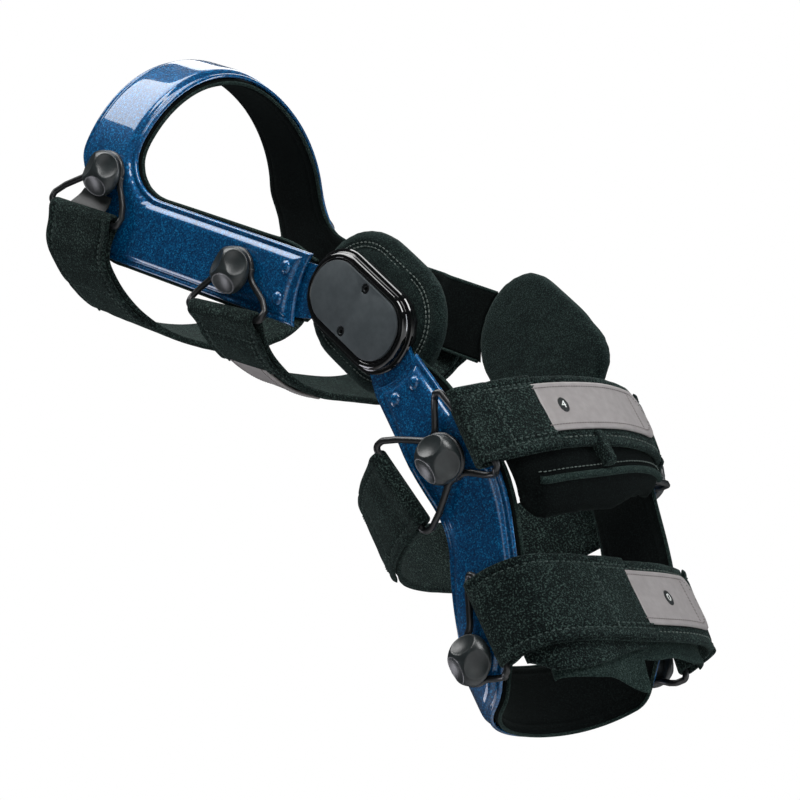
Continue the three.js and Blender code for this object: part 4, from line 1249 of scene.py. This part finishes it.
def make_condyle_pad(side, body):
    """A soft pad inside the hinge. The medial one leans and is drawn in towards the front."""
    low = MEDIAL_PAD_DROP if side == "medial" else 0
    tilt = Matrix.Rotation(math.radians(-14 if side == "medial" else 0), 4, "Z")
    base = ARM_OUTER - ARM_THICKNESS - GAP - BACK_THICKNESS - GAP - PAD_THICKNESS
    rings = []
    for inset, h in PAD_LEVELS:
        ring = []
        for x, y in capsule(*PAD_OUTLINE, inset, 16):
            if side == "medial":
                x *= 1 - (0.34 if x < 0 else 0.05) * min(max((24 - y) / 43, 0), 1)
                y *= 0.93 if y < 0 else 1
            ring.append(tilt @ Vector((x - PAD_BACK, y - low, h)))
        rings.append(ring)
    pad = inflated(ring_stack(rings), CUSHION_VOXEL, 1.5)
    sewn = [tilt @ Vector((p.x - PAD_BACK, p.y - low, 0)) for p in capsule(*PAD_OUTLINE, 7.6, 24)]
    bmesh.ops.subdivide_edges(pad, edges=pad.edges, cuts=1, use_grid_fill=True, smooth=0.6)
    for vert in pad.verts:
        vert.co.z = min(max(vert.co.z, -0.6), 10.2)
        if vert.co.z > 6 and side == "lateral":
            near = min((vert.co.xy - q.xy).length for q in sewn)
            vert.co.z -= 1.1 * bell(near, 1.5)
    pad = on_side(pad, side, base)
    piece = finish_piece(f"condyle_cushion_{side}", pad, "hinge", body, PAD_PILE, 180, subdivide=1)
    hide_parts(f"condyle_pad_{side}")
    if side == "medial":
        return
    spots = []
    for inset in (6.7, 8.5):
        ring = capsule(*PAD_OUTLINE, inset, 16)
        for k, p in enumerate(ring):
            q = ring[(k + 1) % len(ring)]
            count = max(round((q - p).length / 2.6), 1)
            along = (q - p).normalized() if (q - p).length else Vector((0, 1))
            for j in range(count):
                at = p.lerp(q, j / count)
                at = Vector((at.x - PAD_BACK, at.y - low, 9.2))
                spots.append((tilt @ at, tilt @ along.to_3d(), Vector((0, 0, 1))))
    row = on_side(stitch_row(spots, radius=0.36), side, base)
    finish_piece(f"condyle_stitching_{side}", row, "hinge", body, PALE_THREAD, 180)


# Rivets and the hinge arms
RIVETS = {
    "thigh": {"along": 47, "lateral": [7.5, -7], "medial": [5, -9]},
    "calf": {"along": 46, "lateral": [10.8, -1.5], "medial": [9, -1.5]},
}


def make_rivets():
    for limb, row in RIVETS.items():
        for side in SIDES:
            for k, a in enumerate(row[side]):
                rivet = spun(RIVET_PROFILE, 28)
                rivet.transform(Matrix.Translation((-a, UP[limb] * row["along"], 0)))
                rivet = on_side(rivet, side, KNEE_HALF_WIDTH)
                name = f"{limb}_rivet_head_{k + 1}_{side}"
                piece = finish_piece(name, rivet, limb, limb, LACQUER, 40)
                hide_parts(f"{limb}_rivet_{k + 1}_{side}")


def refined(node, name, body, material, edge):
    """A rigid part of the frame from a merged copy of its solid, with its edges broken."""
    bm = bmesh.new()
    bm.from_mesh(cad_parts[node].data)
    bmesh.ops.remove_doubles(bm, verts=bm.verts, dist=1e-6)
    bmesh.ops.dissolve_limit(bm, angle_limit=math.radians(1), verts=bm.verts, edges=bm.edges)
    sharp = [e for e in bm.edges if len(e.link_faces) == 2 and e.calc_face_angle() > math.radians(50)]
    bmesh.ops.bevel(bm, geom=sharp, offset=edge * MM, segments=2, profile=0.5, affect="EDGES", material=-1,
                    clamp_overlap=True)
    piece = finish_piece(name, bm, None, body, material, 30)
    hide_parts(node)


def make_frame_parts():
    for side in SIDES:
        for limb in ("thigh", "calf"):
            refined(f"{limb}_hinge_arm_{side}", f"{limb}_arm_plate_{side}", limb, LACQUER, 0.6)
        plate = f"hinge_back_plate_{side}"
        refined(f"hinge_back_{side}", plate, f"hinge_{side}", STEEL, 0.3)


# Stage: a wide floor, in metres below the knee.
FLOOR_DROP = 0.8


def make_stage():
    """The floor, a room that lights the brace little, and plain white behind it for the eye."""
    material, tree = new_material("white_paper_floor")
    where = add_node(tree, "ShaderNodeTexCoord")
    fleck = add_node(tree, "ShaderNodeTexNoise", [("Vector", (where, "Object"))], Scale=3, Detail=2)
    colour = add_node(tree, "ShaderNodeValToRGB", [("Fac", fleck)],
                      stops=[(0.3, "#f2f2f2"), (0.7, "#f6f6f6")])
    shader = add_node(tree, "ShaderNodeBsdfPrincipled", [("Base Color", colour)], Roughness=0.9)
    pale = add_node(tree, "ShaderNodeEmission", [("Color", colour)], Strength=0.85)
    path = add_node(tree, "ShaderNodeLightPath")
    links = [("Fac", (path, "Is Camera Ray")), (1, shader), (2, pale)]
    close_material(tree, add_node(tree, "ShaderNodeMixShader", links))
    bm = bmesh.new()
    bmesh.ops.create_grid(bm, x_segments=1, y_segments=1, size=6)
    bmesh.ops.translate(bm, verts=bm.verts, vec=(0, 0, -FLOOR_DROP))
    mesh = bpy.data.meshes.new("floor")
    bm.to_mesh(mesh)
    bm.free()
    mesh.materials.append(material)
    floor = bpy.data.objects.new("floor", mesh)
    bpy.context.scene.collection.objects.link(floor)
    world = bpy.data.worlds.new("studio")
    bpy.context.scene.world = world
    world.use_nodes = True
    tree = world.node_tree
    tree.nodes.clear()
    paper = add_node(tree, "ShaderNodeBackground", Color=(1, 1, 1, 1), Strength=1.0)
    room = add_node(tree, "ShaderNodeBackground", Color=(0.9, 0.95, 1, 1), Strength=0.05)
    seen = add_node(tree, "ShaderNodeLightPath")
    both = add_node(tree, "ShaderNodeMixShader", [("Fac", (seen, "Is Camera Ray")), (1, room), (2, paper)])
    add_node(tree, "ShaderNodeOutputWorld", [("Surface", both)])
    bpy.context.scene.view_settings.view_transform = "Standard"


def camera_axes():
    azimuth, elevation, roll = (math.radians(v) for v in (CAMERA_AZIMUTH, CAMERA_ELEVATION, CAMERA_ROLL))
    back = Vector((math.sin(azimuth) * math.cos(elevation), -math.cos(azimuth) * math.cos(elevation),
                   math.sin(elevation)))
    right = Vector((math.cos(azimuth), math.sin(azimuth), 0))
    up = back.cross(right)
    return (right * math.cos(roll) + up * math.sin(roll), up * math.cos(roll) - right * math.sin(roll), back)


def make_camera():
    right, up, back = camera_axes()
    camera = bpy.data.objects.new("camera", bpy.data.cameras.new("camera"))
    camera.data.lens, camera.data.sensor_width = CAMERA_LENS, 36
    camera.data.clip_start, camera.data.clip_end = 0.05, 50
    place = (right * CAMERA_RIGHT + up * CAMERA_UP + back * CAMERA_DISTANCE) * MM
    camera.matrix_world = Matrix.Translation(place) @ Matrix((right, up, back)).transposed().to_4x4()
    bpy.context.scene.collection.objects.link(camera)
    bpy.context.scene.camera = camera


# Soft boxes: name, place as right, up and back from the knee in the camera's own directions in metres,
# width and height in metres, power and colour.
LIGHTS = [
    ("overhead_box", (-0.55, 1.25, -0.15), 1.3, 0.9, 24, "#ffffff"),
    ("right_strip", (1.35, 0.15, 0.25), 0.22, 1.3, 9, "#f4f8ff"),
    ("lower_left_box", (-1.15, -0.75, -0.35), 0.9, 0.45, 6, "#eeedf6"),
    ("front_box", (0.22, 1.15, 0.75), 0.55, 0.7, 14, "#ffffff"),
    ("lens_side_fill", (-0.25, 0.1, 1.6), 0.9, 0.9, 3, "#ffffff"),
    ("rear_box", (0.2, 0.9, -1.2), 0.9, 0.9, 9, "#ffffff"),
]


def make_lights():
    axes = camera_axes()
    for name, spot, wide, high, power, colour in LIGHTS:
        data = bpy.data.lights.new(name, "AREA")
        data.shape, data.size, data.size_y, data.energy = "RECTANGLE", wide, high, power
        data.color = linear(colour)[:3]
        light = bpy.data.objects.new(name, data)
        place = axes[0] * spot[0] + axes[1] * spot[1] + axes[2] * spot[2]
        light.location = place
        light.rotation_mode = "QUATERNION"
        light.rotation_quaternion = (-place).to_track_quat("-Z", "Y")
        bpy.context.scene.collection.objects.link(light)


make_camera()
make_lights()
make_stage()
make_shells()
make_frame_parts()
make_hinges()
make_rivets()
make_knobs()
make_loops()
make_straps()
make_tabs()
make_pads_on_straps()
make_tongue()
